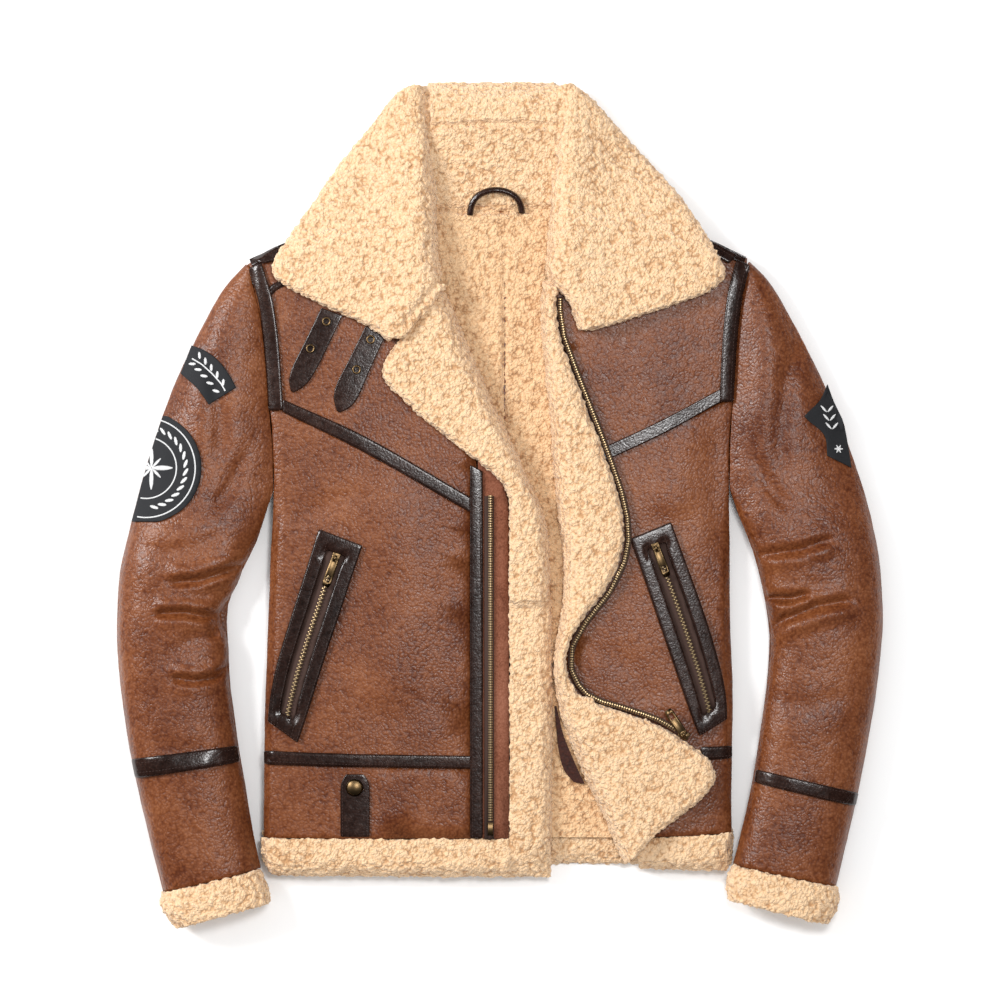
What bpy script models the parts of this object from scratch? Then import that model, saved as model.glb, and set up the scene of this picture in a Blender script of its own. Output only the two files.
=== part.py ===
"""A sheepskin flying jacket laid flat on its back: leather outside, curly wool inside.

Outlines are read on a one-metre square cutting table, in millimetres: x from its left edge, down from its
far edge. Heights are above the surface that the jacket lies on. Right and left are the wearer's.
"""
import math
from collections import namedtuple

import bmesh
import bpy
import numpy as np
from mathutils import Euler, Vector
from mathutils.bvhtree import BVHTree

MM = 0.001
NECK_TO_HEM = 658.0
NECK_DOWN = 207.0
TABLE_CENTRE_X = 500.0
TABLE_CENTRE_DOWN = 503.0
SCALE = MM * NECK_TO_HEM / (865.0 - NECK_DOWN)

SEAM = 0.3
SKIN_WALL = 13.35
BACK_TOP = 13.85
FRONT_SEAT = BACK_TOP + SEAM
FRONT_TOP = FRONT_SEAT + SKIN_WALL
CROWN = 5.0
CROWN_RUN = 90.0
SIDE_RADIUS = 17.0
ARMHOLE_RADIUS = 9.0
ARMHOLE_DROP = 3.0
SHOULDER_RADIUS = 18.0
SHOULDER_DROP = 9.0
FLOOR_CURL = 8.0
FLOOR_RADIUS = 12.0

FOLD_CLEAR = 2.8
FOLD_WALL = 13.0
LEAF_CLEAR = 4.2
LEAF_RISE = 9.0
LEAF_RUN = 75.0
HOOK = 16.0
ROLL_RADIUS = 15.0
LEAF_ROLL_END = 0.70
LIP = 5.0
LIP_RADIUS = 9.0

SLEEVE_MID = 18.0
SLEEVE_RISE = 30.0
SLEEVE_WALL = 11.0
SLEEVE_POWER = 2.5
CUFF_WALL = 13.0

ARMHOLE_GAP = 0.45
TAPE = 1.6
LAID_GAP = 0.45

# A section's x is None where its edge follows the side seam or the armhole
Section = namedtuple("Section", "left_x left_down right_x right_down")
SleeveSection = namedtuple("SleeveSection", "outer_x outer_down inner_x inner_down joined")
Side = namedtuple("Side", "down left_x right_x joined")
Crease = namedtuple("Crease", "x down heading length width depth")
Spot = namedtuple("Spot", "x down left right start end width u v")

# Side seams and armholes: how far the body reaches at each height, and whether a sleeve is joined there
BODY_SIDES = [
    Side(262, 246, 750, 1.0),
    Side(300, 257.6, 741.4, 1.0),
    Side(345, 265, 735.8, 1.0),
    Side(400, 269, 732.6, 1.0),
    Side(440, 273, 729, 1.0),
    Side(495, 274, 729, 1.0),
    Side(530, 272, 730, 0.2),
    Side(560, 270, 730, 0.0),
    Side(620, 268, 730, 0.0),
    Side(700, 265, 733, 0.0),
    Side(760, 264, 732, 0.0),
    Side(880, 263, 732, 0.0),
]
# The shoulder seams as places on the table, from the right sleeve's tip over the neck to the left sleeve's
SHOULDERS = [(246.0, 264.0), (284.0, 243.0), (437.0, 208.0), (551.0, 208.0), (711.0, 240.5), (750.0, 262.0)]

BACK = [
    Section(436, 208, 552, 208),
    Section(410, 214.5, 581, 214.5),
    Section(314, 236.5, 691, 236.5),
    Section(273, 250, 727, 250),
    Section(None, 264, None, 264),
    Section(None, 300, None, 300),
    Section(None, 345, None, 345),
    Section(None, 400, None, 400),
    Section(None, 440, None, 440),
    Section(None, 495, None, 495),
    Section(None, 540, None, 540),
    Section(None, 620, None, 620),
    Section(None, 700, None, 700),
    Section(None, 760, None, 760),
    Section(None, 830, None, 830),
]
BACK_HEM = [Section(262, 830, 733, 830), Section(264, 865, 733, 865)]

RIGHT_YOKE = [
    Section(402, 216.5, 419.5, 219),
    Section(340, 230.5, 419.5, 237),
    Section(284, 243.5, 420.5, 256),
    Section(None, 264, 421, 275),
    Section(None, 300, 429, 303),
    Section(None, 330, 446, 340),
    Section(None, 360, 464, 385),
    Section(None, 385, 476, 445),
    Section(None, 402, 477, 507),
]
RIGHT_FRONT = [
    Section(None, 402, 477, 507),
    Section(None, 450, 477, 530),
    Section(None, 520, 477, 570),
    Section(None, 620, 477, 640),
    Section(None, 690, 477, 700),
    Section(None, 759, 477, 761),
]
RIGHT_BAND = [Section(None, 759, 477, 761), Section(None, 838, 477, 838)]
RIGHT_PLACKET = [
    Section(477.8, 452, 497, 452),
    Section(477.8, 480, 508, 480),
    Section(477.8, 500, 509, 500),
    Section(477, 540, 509, 540),
    Section(477, 838, 509, 838),
]
RIGHT_EDGE = [Section(509, 601, 552, 601), Section(509, 700, 553, 700), Section(509, 878, 551, 877)]
RIGHT_HEM = [Section(260, 838, 509, 838), Section(261, 856, 509, 858), Section(271, 876, 509, 878)]
RIGHT_LAPEL = [
    Section(404.6, 334.6, 441.6, 286.4),
    Section(397, 344, 446, 294),
    Section(388, 357, 455, 312),
    Section(381, 371, 465, 338),
    Section(387, 385, 478, 368),
    Section(401, 397, 490, 395),
    Section(420, 416, 503, 423),
    Section(447, 437, 514, 447),
    Section(470, 456, 524, 470),
    Section(488, 469, 533, 488),
    Section(501, 481, 540, 503),
    Section(508.6, 495, 545, 518),
    Section(509.5, 520, 549, 543),
    Section(509.5, 560, 550, 572),
    Section(509.2, 601, 552, 601),
]

LEFT_YOKE = [
    Section(577, 218, 592, 216.5),
    Section(572, 234, 655, 229.5),
    Section(567, 252, 711, 241),
    Section(564, 272, None, 262),
    Section(552, 310, None, 302),
    Section(558, 345, None, 340),
    Section(566, 400, None, 372),
    Section(571, 469, None, 397),
]
LEFT_FRONT = [
    Section(571, 469, None, 397),
    Section(575, 505, None, 450),
    Section(581, 550, None, 520),
    Section(581, 590, None, 580),
    Section(575, 620, None, 640),
    Section(564, 648, None, 670),
    Section(563, 672, None, 690),
    Section(571, 692, None, 703),
    Section(584, 720, None, 725),
    Section(594, 756, None, 752),
]
LEFT_BAND = [
    Section(594, 756, None, 752),
    Section(609, 790, None, 790),
    Section(632, 838, None, 833),
]
LEFT_HEM = [Section(632, 838, 734, 833), Section(640, 869, 727, 871)]
LEFT_FACING = [
    Section(543.6, 280, 557.2, 295),
    Section(540, 311, 556, 312),
    Section(542, 336, 560, 338),
    Section(545, 368, 570, 366),
    Section(548, 400, 583, 400),
    Section(551, 426, 594, 428),
    Section(552, 459, 606, 460),
    Section(556, 492, 617, 492),
    Section(558, 520, 623, 518),
    Section(562, 543, 624, 540),
    Section(563, 562, 620, 560),
    Section(563, 589, 606, 589),
    Section(560, 620, 583, 618),
    Section(555, 647, 568, 645),
    Section(554, 674, 566, 672),
    Section(557, 701, 583, 699),
]
LEFT_FLAP = [
    Section(557, 701, 583, 699),
    Section(560, 715, 620, 711),
    Section(567, 733, 655, 723),
    Section(575, 753, 690, 744),
    Section(581, 772, 718, 771),
    Section(591, 789, 703, 797),
    Section(602, 813, 679, 815),
    Section(614, 843, 653, 835),
    Section(625, 864, 638, 852),
]
LEFT_ZIP = [
    Section(556.6, 298, 563, 297),
    Section(556.6, 312, 563, 311),
    Section(560.8, 338, 567, 336.5),
    Section(570.8, 366, 577, 363.5),
    Section(583.8, 400, 590, 397.5),
    Section(594.8, 428, 601, 425.5),
    Section(606.8, 460, 613, 458),
    Section(617.8, 492, 624, 490),
    Section(623.9, 518, 630.3, 517),
    Section(625.0, 540, 631.3, 541),
    Section(621.2, 560.5, 627.2, 563),
    Section(607.0, 589.7, 612.0, 594),
    Section(583.9, 618.7, 589, 623),
    Section(568.9, 645.4, 575, 648),
    Section(568.4, 670.8, 574.4, 668),
    Section(576.0, 686.3, 581.0, 682.0),
    Section(585.4, 696.6, 588.6, 691.2),
    Section(600.5, 704.0, 602.3, 697.8),
    Section(620.4, 709.4, 622.2, 703.4),
    Section(640.6, 716.0, 642.6, 710),
    Section(655.7, 721.3, 658.2, 715.6),
    Section(673.0, 731.0, 676.0, 725.4),
    Section(686.4, 739.6, 690.0, 734.4),
]

RIGHT_LEAF = [
    Section(408, 85, 426, 86),
    Section(395, 94, 428, 102),
    Section(370, 126, 431, 130),
    Section(344, 157, 433, 160),
    Section(319, 193, 435, 190),
    Section(300, 222, 437, 221),
    Section(286, 241, 438, 245),
    Section(272, 263, 440, 266),
    Section(276, 282, 443, 280),
    Section(310, 299, 436, 290),
    Section(343, 315, 424, 304),
    Section(372, 328, 412, 319),
    Section(389, 342, 402, 334),
]
LEFT_LEAF = [
    Section(557, 86, 572, 83),
    Section(557, 98, 592, 98),
    Section(556, 126, 617, 126),
    Section(555, 147, 638, 148),
    Section(553, 170, 662, 175),
    Section(551, 198, 685, 202),
    Section(549, 225, 701, 228),
    Section(547, 250, 715, 250),
    Section(545, 270, 726, 272),
    Section(548, 283, 721, 287),
    Section(559, 292, 695, 298),
    Section(568, 303, 660, 310),
    Section(573, 315, 620, 323),
    Section(578, 330, 592, 331),
]
STAND = [
    Section(428, 81, 556, 81),
    Section(431.3, 126, 555, 126),
    Section(434.3, 165, 552.5, 165),
    Section(437.3, 207, 549.8, 207),
]

RIGHT_SLEEVE = [
    SleeveSection(241.5, 267, None, 270.5, 1.0),
    SleeveSection(226, 285, None, 300, 1.0),
    SleeveSection(205, 320, None, 333, 1.0),
    SleeveSection(185, 360, None, 380, 1.0),
    SleeveSection(168, 400, None, 424, 1.0),
    SleeveSection(154, 440, None, 462, 1.0),
    SleeveSection(142, 480, None, 493, 1.0),
    SleeveSection(134, 512, 266, 513, 0.5),
    SleeveSection(127, 540, 257, 540, 0.0),
    SleeveSection(121, 566, 245, 563, 0.0),
    SleeveSection(118, 592, 237, 586, 0.0),
    SleeveSection(117, 618, 220, 615, 0.0),
    SleeveSection(117, 645, 229, 642, 0.0),
    SleeveSection(120, 685, 229, 678, 0.0),
    SleeveSection(125, 722, 234, 712, 0.0),
    SleeveSection(132, 762, 239, 748, 0.0),
    SleeveSection(142, 806, 245, 785, 0.0),
    SleeveSection(152, 848, 252, 828, 0.0),
    SleeveSection(163, 892, 261, 868, 0.0),
]
LEFT_SLEEVE = [
    SleeveSection(753.5, 264.5, None, 269, 1.0),
    SleeveSection(772, 284, None, 300, 1.0),
    SleeveSection(792, 320, None, 333, 1.0),
    SleeveSection(813, 360, None, 380, 1.0),
    SleeveSection(832, 400, None, 424, 1.0),
    SleeveSection(847, 440, None, 462, 1.0),
    SleeveSection(861, 480, None, 495, 1.0),
    SleeveSection(870, 512, 738, 514, 0.5),
    SleeveSection(876, 540, 749, 540, 0.0),
    SleeveSection(880, 566, 758, 566, 0.0),
    SleeveSection(882, 592, 763, 590, 0.0),
    SleeveSection(883, 618, 768, 615, 0.0),
    SleeveSection(881, 650, 771, 645, 0.0),
    SleeveSection(878, 680, 768, 676, 0.0),
    SleeveSection(873, 715, 764, 706, 0.0),
    SleeveSection(866, 752, 759, 738, 0.0),
    SleeveSection(858, 794, 755, 770, 0.0),
    SleeveSection(847, 840, 745, 818, 0.0),
    SleeveSection(836, 886, 733, 864, 0.0),
]
RIGHT_CUFF = [
    Section(160, 892.7, 262, 867.8),
    Section(160, 908, 268, 883),
    Section(176, 928, 273, 901),
]
LEFT_CUFF = [
    Section(731, 863.6, 839, 886.6),
    Section(725, 879, 840, 904),
    Section(726, 898, 829, 924),
]
# Rows of the top sleeve from shoulder to wrist, closest together round the elbow's folds
SLEEVE_STATIONS = [0, 0.03, 0.06, 0.1, 0.15, 0.2, 0.25, 0.3, 0.35, 0.4, 0.44, 0.47, 0.49, 0.51, 0.53, 0.55,
                   0.57, 0.59, 0.61, 0.63, 0.66, 0.7, 0.76, 0.82, 0.88, 0.94, 1]
WRIST_START = 0.8445
WRIST_END = 0.8645

# The deepest folds of the sleeves; heading is the angle of the fold's run below the x axis, in degrees
SLEEVE_CREASES = [
    Crease(226, 586, -12, 62, 13, 7.0),
    Crease(196, 641, -26, 58, 13, 5.5),
    Crease(214, 679, -10, 46, 11, 7.0),
    Crease(788, 598, -16, 64, 12, 6.5),
    Crease(778, 553, -14, 52, 11, 4.5),
    Crease(150, 700, 28, 60, 18, 2.5),
]

RIGHT_YOKE_TAPE = [
    Section(284.3, 411.8, 284.3, 400.8),
    Section(362, 450, 368, 439),
    Section(469.8, 511, 469.8, 498),
]
LEFT_YOKE_TAPE = [Section(719.3, 401.5, 719.3, 390.5), Section(664, 432, 660, 422), Section(598, 463, 594, 453)]
RIGHT_WAIST_TAPE = [Section(266, 763, 266, 751), Section(340, 765, 340, 754), Section(470, 767, 470, 756)]
LEFT_WAIST_TAPE = [Section(730, 757, 730, 746), Section(715, 758, 715, 747), Section(701, 758, 701, 747)]
RIGHT_PLACKET_TAPE = [Section(471, 466, 482, 472), Section(471, 600, 482, 600), Section(471, 836.5, 482, 836.5)]
RIGHT_ARMHOLE_TAPE = [
    Section(250.0, 269.5, 261.5, 264.5),
    Section(254.2, 281, 266.2, 279),
    Section(260.0, 300, 272.2, 299),
    Section(264.4, 330, 276.8, 329),
    Section(267.0, 355, 279.2, 354.5),
    Section(268.9, 380, 281.0, 380),
    Section(270.6, 410, 282.8, 409),
]
LEFT_ARMHOLE_TAPE = [
    Section(748.0, 266.5, 736.5, 261.0),
    Section(744.0, 281, 732.0, 278),
    Section(739.6, 300, 727.4, 299),
    Section(736.6, 325, 724.4, 324),
    Section(734.4, 350, 722.4, 350),
    Section(732.8, 375, 721.2, 375),
    Section(731.6, 401, 720.6, 401),
]
RIGHT_SHOULDER_TAPE = [
    Section(282, 256.5, 278.3, 247.6),
    Section(273, 261.2, 268.5, 252.6),
    Section(262.5, 263.4, 253.0, 261.4),
]
LEFT_SHOULDER_TAPE = [
    Section(705.5, 249, 710.5, 242.0),
    Section(717.5, 257, 722.5, 249.2),
    Section(728, 263, 735.4, 256.4),
]

ZIP_TAPE = [Section(484.5, 496, 494, 496), Section(484.5, 838, 494, 838)]
STRAP_1 = [
    Section(322, 308, 343, 316),
    Section(306, 341, 327, 350),
    Section(290, 374, 309, 383),
    Section(291, 391, 294, 393),
]
STRAP_2 = [
    Section(366, 326, 386, 336),
    Section(350, 359, 371, 369),
    Section(334, 392, 355, 404),
    Section(337, 411, 340, 413),
]
EYELETS = {"strap_1_eyelet_top": (327, 322), "strap_1_eyelet_low": (311, 349),
           "strap_2_eyelet_top": (371, 340), "strap_2_eyelet_low": (357, 370)}
EYELET_RADIUS = 3.7
EYELET_WIRE = 1.3
HEM_TAB = [
    Section(346.5, 773.5, 364, 773.5),
    Section(341.5, 780, 369.5, 780),
    Section(341, 792, 370, 792),
    Section(341, 836, 370, 836),
]
SNAP_AT = (355, 787)
SNAP_RADIUS = 9.0
SNAP_HEIGHT = 2.0

RIGHT_POCKET = [
    Section(320, 530, 362, 546),
    Section(309, 566, 350, 581),
    Section(299, 597, 340, 612),
    Section(288, 632, 328, 647),
    Section(279, 662, 318, 679),
    Section(273, 692, 309, 708),
    Section(271, 721, 298, 741),
]
LEFT_POCKET = [
    Section(631, 539, 670, 523),
    Section(643, 574, 683, 559),
    Section(655, 609, 696, 594),
    Section(667, 644, 707, 627),
    Section(679, 679, 717, 661),
    Section(690, 711, 724, 693),
    Section(699, 734, 725, 718),
]
RAIL = 0.27
RAIL_END = 0.075
WELT = 2.6
WELT_GAP = 1.0
POCKET_TAPE = 0.9
TEETH = 1.5
# The front zips: thickness of the cloth tape, where the teeth lie across it, and the left zip's heights
ZIP_CLOTH = 1.2
ZIP_TEETH = (0.42, 0.82)
LEFT_ZIP_TOP = 3.8
LEFT_ZIP_SEAT = 0.6
TEETH_HALF = 2.6

Zip = namedtuple("Zip", "slider_x slider_down heading tab_heading")
RIGHT_POCKET_ZIP = Zip(336, 558, -109.5, -109.5)
LEFT_POCKET_ZIP = Zip(656, 548, -69.5, -69.5)
MAIN_ZIP = Zip(683.5, 734.0, -30.0, 124.0)
SLIDER = (8.0, 11.0, 2.2)
BAR = 1.1
ARCH_INNER = 1.5
ARCH_OUTER = 2.7
ARCH_WIDTH = 2.0
TAB = (9.0, 30.0)
EYE = (4.6, 3.4)

HANGER_FEET = ((470, 215), (522, 213))
HANGER_TOP = 190
HANGER_RADIUS = 3.2
HANGER_ARCH = 5.0
INNER_POCKET = [
    Section(554.5, 706, 556.5, 706),
    Section(556.5, 730, 563.5, 735),
    Section(559, 752, 571.5, 755),
    Section(564, 770, 578.5, 771),
    Section(573.5, 782, 585, 784),
]

ARC_PATCH = [
    Section(193, 346, 182, 374),
    Section(206, 351, 190, 381),
    Section(218, 360, 198, 388),
    Section(228, 372, 204, 396),
    Section(237, 388, 210, 405),
]
ROUND_CENTRE = (147, 468)
ROUND_RADIUS = 56.0
ROUND_ENDS = (416.5, 522.0)
LEFT_PATCH = [
    Section(826, 385, 827, 388),
    Section(818, 403, 833, 404),
    Section(803, 417, 841, 420),
    Section(823, 434, 845, 437),
    Section(826, 456, 850, 468),
]
PATCH = 1.2

LEATHER = ((0.235, 0.085, 0.038), 0.42, 0.0)
DARK_LEATHER = ((0.038, 0.022, 0.018), 0.40, 0.0)
SUEDE = ((0.120, 0.045, 0.026), 0.85, 0.0)
WOOL = ((0.760, 0.545, 0.315), 0.95, 0.0)
BRASS = ((0.250, 0.180, 0.090), 0.40, 1.0)
PATCH_CLOTH = ((0.012, 0.014, 0.018), 0.80, 0.0)

for old in list(bpy.data.objects):
    bpy.data.objects.remove(old, do_unlink=True)
jacket = bpy.data.collections.new("flying_jacket")
cutters = bpy.data.collections.new("cutters")
bpy.context.scene.collection.children.link(jacket)
bpy.context.scene.collection.children.link(cutters)
finishes = {}


def finish(look):
    """One Principled material for each of the jacket's finishes."""
    if look not in finishes:
        colour, roughness, metallic = look
        material = bpy.data.materials.new("finish")
        material.use_nodes = True
        shader = material.node_tree.nodes["Principled BSDF"]
        shader.inputs["Base Color"].default_value = (*colour, 1.0)
        shader.inputs["Roughness"].default_value = roughness
        shader.inputs["Metallic"].default_value = metallic
        finishes[look] = material
    return finishes[look]


def ease(t):
    """0 to 1 with a soft start and end."""
    t = min(max(t, 0.0), 1.0)
    return t * t * (3 - 2 * t)


def mix(a, b, t):
    return a + (b - a) * t


def round_edge(distance, radius):
    """0 at an edge and 1 from radius inwards, along a quarter circle."""
    t = min(max(distance / radius, 0.0), 1.0)
    return math.sqrt(1 - (1 - t) ** 2)


def world(x, down, height):
    """A point over the cutting table, in metres from the middle of the laid jacket."""
    return Vector(((x - TABLE_CENTRE_X) * SCALE, (TABLE_CENTRE_DOWN - down) * SCALE, height * MM))


def smooth(points, at):
    """Through a table's rows along a Catmull-Rom curve; at counts rows."""
    i = min(int(at), len(points) - 2)
    t = at - i
    p1, p2 = points[i], points[i + 1]
    p0 = points[i - 1] if i > 0 else 2 * p1 - p2
    p3 = points[i + 2] if i + 2 < len(points) else 2 * p2 - p1
    bend = (2 * p0 - 5 * p1 + 4 * p2 - p3) * t * t + (3 * p1 - p0 - 3 * p2 + p3) * t ** 3
    return 0.5 * (2 * p1 + (p2 - p0) * t + bend)


SIDE_DOWNS = [row.down for row in BODY_SIDES]
SIDE_ROWS = np.array([row[1:] for row in BODY_SIDES], float)


def side(down):
    """The body's left and right edge at a height, and whether the sleeves are joined there."""
    left_x, right_x, joined = smooth(SIDE_ROWS, float(np.interp(down, SIDE_DOWNS, range(len(SIDE_DOWNS)))))
    return float(left_x), float(right_x), min(max(float(joined), 0.0), 1.0)


class Plan:
    """A piece seen from above: sections from its left to its right edge, joined by smooth curves."""

    def __init__(self, table, off_side=0.0):
        self.off_side = off_side
        self.on_side = [[row[0] is None, row[2] is None] for row in table]
        rows = [list(row[:4]) for row in table]
        for row in rows:
            for end, other in ((0, 2), (2, 0)):
                if row[end] is None:
                    row[end] = self.edge_x(row[end + 1], end, row[other])
        self.rows = np.array(rows, float)
        self.more = np.array([row[4:] for row in table], float)
        middles = (self.rows[:, :2] + self.rows[:, 2:]) / 2
        steps = np.linalg.norm(np.diff(middles, axis=0), axis=1)
        self.marks = np.concatenate([[0], np.cumsum(steps)])
        self.length = self.marks[-1]

    def edge_x(self, down, end, other):
        """Where an edge follows the armhole: a body piece's own side of it, or a sleeve's side."""
        left_x, right_x, _ = side(down)
        if self.off_side:
            return left_x - self.off_side if other < TABLE_CENTRE_X else right_x + self.off_side
        return left_x if end == 0 else right_x

    def place(self, v):
        return float(np.interp(v * self.length, self.marks, range(len(self.marks))))

    def section(self, v):
        at = self.place(v)
        row = smooth(self.rows, at)
        i = min(int(at), len(self.rows) - 2)
        for end in (0, 2):
            if self.on_side[i][end // 2] and self.on_side[i + 1][end // 2]:
                row[end] = self.edge_x(row[end + 1], end, row[2 - end])
        return row

    def column(self, v):
        """The table's fifth column, between rows."""
        return float(np.interp(self.place(v), range(len(self.more)), self.more[:, 0]))

    def width(self, v):
        row = self.section(v)
        return float(np.hypot(*(row[2:] - row[:2])))

    def spot(self, u, v):
        row = self.section(v)
        wide = float(np.hypot(*(row[2:] - row[:2])))
        x, down = row[:2] + (row[2:] - row[:2]) * u
        return Spot(float(x), float(down), u * wide, (1 - u) * wide,
                    v * self.length, (1 - v) * self.length, wide, u, v)


def even(count):
    return [i / count for i in range(count + 1)]


def crowded(count):
    """Closer together near both edges, where the skin turns over."""
    return [0.5 - 0.5 * math.cos(math.pi * i / count) for i in range(count + 1)]


def inside(share, length, gap):
    """Pull the first and last station in from a seam by half its gap."""
    return min(max(share, gap / 2 / length), 1 - gap / 2 / length)


def keep(name, mesh, look):
    body = bpy.data.objects.new(name, mesh)
    mesh.materials.append(finish(look))
    mesh.shade_smooth()
    mesh.set_sharp_from_angle(angle=math.radians(40))
    jacket.objects.link(body)
    return body


def closed_mesh(name, bm):
    """Turn a closed form's faces outward and hand it over as a mesh."""
    bmesh.ops.recalc_face_normals(bm, faces=bm.faces)
    if bm.calc_volume(signed=True) < 0:
        bmesh.ops.reverse_faces(bm, faces=bm.faces)
    mesh = bpy.data.meshes.new(name)
    bm.to_mesh(mesh)
    bm.free()
    return mesh


def slab(name, look, columns, rows, place, window=None):
    """A closed wall: one grid, extruded once, whose two layers go where place puts them."""
    bm = bmesh.new()
    bmesh.ops.create_grid(bm, x_segments=columns, y_segments=rows, size=1)
    if window:
        gone = [face for face in bm.faces if window(face.calc_center_median())]
        bmesh.ops.delete(bm, geom=gone, context="FACES")
    lifted = bmesh.ops.extrude_face_region(bm, geom=bm.faces[:])
    upper = {vert for vert in lifted["geom"] if isinstance(vert, bmesh.types.BMVert)}
    for vert in bm.verts:
        i = round((vert.co.x + 1) / 2 * columns)
        j = round((1 - vert.co.y) / 2 * rows)
        vert.co = place(i, j, vert in upper)
    mesh = closed_mesh(name, bm)
    return keep(name, mesh, look)


def panel(name, look, table, columns, rows, top, bottom, across=None, across_under=None, along=None):
    """A wall between its outer height, top, and its inner height, bottom, a seam's gap from its neighbours."""
    plan = Plan(table)
    along = along or even(rows)
    across = across or crowded(columns)
    across_under = across_under or (lambda spot: across)

    def place(i, j, upper):
        v = inside(along[j], plan.length, SEAM)
        wide = plan.width(v)
        u = inside((across if upper else across_under(plan.spot(0.5, v)))[i], wide, SEAM)
        spot = plan.spot(u, v)
        return world(spot.x, spot.down, (top if upper else bottom)(spot))

    return slab(name, look, columns, len(along) - 1, place)


SHOULDER_XS, SHOULDER_DOWNS = zip(*SHOULDERS)


def below_shoulder(x, down):
    """How far a point lies below the shoulder seam; negative above it."""
    line = float(np.interp(x, SHOULDER_XS, SHOULDER_DOWNS))
    slope = float(np.interp(x + 1, SHOULDER_XS, SHOULDER_DOWNS)) - line
    return (down - line) * math.cos(math.atan(slope))


def from_side(x, down):
    left_x, right_x, _ = side(down)
    return min(x - left_x, right_x - x)


def lift(x, down):
    return CROWN * ease(from_side(x, down) / CROWN_RUN) * ease(below_shoulder(x, down) / CROWN_RUN)


def body_top(x, down):
    """The outer face of the fronts, yokes and bands."""
    joined = side(down)[2]
    drop = mix(FRONT_TOP - BACK_TOP - 2.0, ARMHOLE_DROP, joined)
    radius = mix(SIDE_RADIUS, ARMHOLE_RADIUS, joined)
    height = FRONT_TOP + lift(x, down) - drop * (1 - round_edge(from_side(x, down), radius))
    return height - SHOULDER_DROP * (1 - round_edge(below_shoulder(x, down), SHOULDER_RADIUS))


def front_top(spot):
    return body_top(spot.x, spot.down)


def front_bottom(spot):
    return FRONT_SEAT + lift(spot.x, spot.down)


def back_top(spot):
    return BACK_TOP


def back_bottom(spot):
    curl = FLOOR_CURL * (1 - side(spot.down)[2])
    return curl * (1 - round_edge(min(spot.left, spot.right), FLOOR_RADIUS))


def hem_wool_top(free_left, free_right, proud):
    """Hem wool: rounded at its free bottom edge and at its free ends."""
    def top(spot):
        soft = round_edge(spot.end, 13.0)
        if free_left:
            soft *= round_edge(spot.left, 15.0)
        if free_right:
            soft *= round_edge(spot.right, 15.0)
        return mix(FRONT_SEAT + 3.0, FRONT_TOP + proud, soft)
    return top


def fronts():
    panel("back", LEATHER, BACK, 8, 14, back_top, back_bottom)
    panel("back_hem_wool", WOOL, BACK_HEM, 10, 3,
          lambda spot: mix(4.0, BACK_TOP, round_edge(spot.end, 10.0)),
          lambda spot: mix(3.0, 0.0, round_edge(min(spot.left, spot.right), FLOOR_RADIUS)))
    panel("right_yoke", LEATHER, RIGHT_YOKE, 7, 12, front_top, front_bottom)
    panel("right_front", LEATHER, RIGHT_FRONT, 8, 14, front_top, front_bottom)
    panel("right_band", LEATHER, RIGHT_BAND, 9, 4, front_top, front_bottom)
    panel("left_yoke", LEATHER, LEFT_YOKE, 7, 12, front_top, front_bottom)
    panel("left_front", LEATHER, LEFT_FRONT, 7, 15, front_top, front_bottom)
    panel("left_band", LEATHER, LEFT_BAND, 7, 4, front_top, front_bottom)
    panel("right_placket", SUEDE, RIGHT_PLACKET, 2, 9, front_top, front_bottom, across=even(2))

    def edge_top(spot):
        soft = round_edge(spot.right, 16.0) * round_edge(spot.end, 13.0)
        return mix(FRONT_SEAT + 3.0, FRONT_TOP + CROWN + 2.0, soft)

    panel("right_edge_wool", WOOL, RIGHT_EDGE, 6, 12, edge_top, lambda spot: FRONT_SEAT)
    panel("right_hem_wool", WOOL, RIGHT_HEM, 10, 4, hem_wool_top(True, False, CROWN + 1.0),
          lambda spot: FRONT_SEAT)
    panel("left_hem_wool", WOOL, LEFT_HEM, 7, 4, hem_wool_top(False, True, 4.0), lambda spot: FRONT_SEAT)


def edge_hook(spot):
    """How much of a turned edge's width rolls down to the wool of the back."""
    return min(HOOK, 0.55 * spot.width)


def leaf_hook(spot):
    """The same for a collar leaf, which is rolled as far as its notch."""
    return 0.5 + (edge_hook(spot) - 0.5) * (1 - ease((spot.v - LEAF_ROLL_END) / 0.06))


def hook_columns(count, roll_left, hook):
    """Stations under a turned edge: two of them close together where it steps down to its roll."""
    def across(spot):
        share = hook(spot) / spot.width
        step = 0.4 / spot.width
        flat = [share + step + (1 - share - step) * i / (count - 2) for i in range(count - 1)]
        stations = [0.0, share] + flat
        return stations if roll_left else [1 - station for station in reversed(stations)]
    return across


def turned(name, table, columns, rows, roll_left, over, wall, beneath, soft_end, hook=edge_hook):
    """A wool edge turned back over the front: it rolls down to the back's wool along one side."""
    def to_roll(spot):
        return spot.left if roll_left else spot.right

    def to_lip(spot):
        return spot.right if roll_left else spot.left

    def bottom(spot):
        if to_roll(spot) > hook(spot) + 0.1:
            return over(spot)
        return mix(over(spot), beneath(spot), ease(hook(spot) / edge_hook(spot)))

    def top(spot):
        full = over(spot) + wall(spot)
        roll = round_edge(to_roll(spot), min(ROLL_RADIUS, 0.6 * spot.width))
        lip = round_edge(min(to_lip(spot), soft_end(spot)), min(LIP_RADIUS, 0.35 * spot.width))
        low = mix(over(spot) + 2.0, beneath(spot) + 3.0, min(hook(spot) / edge_hook(spot), 1.0))
        rolled = mix(low, full, roll)
        return mix(min(rolled, over(spot) + LIP), rolled, lip)

    panel(name, WOOL, table, columns, rows, top, bottom, across_under=hook_columns(columns, roll_left, hook))


def over_front(spot):
    return body_top(spot.x, spot.down) + FOLD_CLEAR


def lapel_hook(spot):
    """The lapel's roll widens to its whole width where the lapel runs into the edge wool."""
    return mix(edge_hook(spot), spot.width - 0.6, ease((spot.down - 492) / 16))


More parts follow.
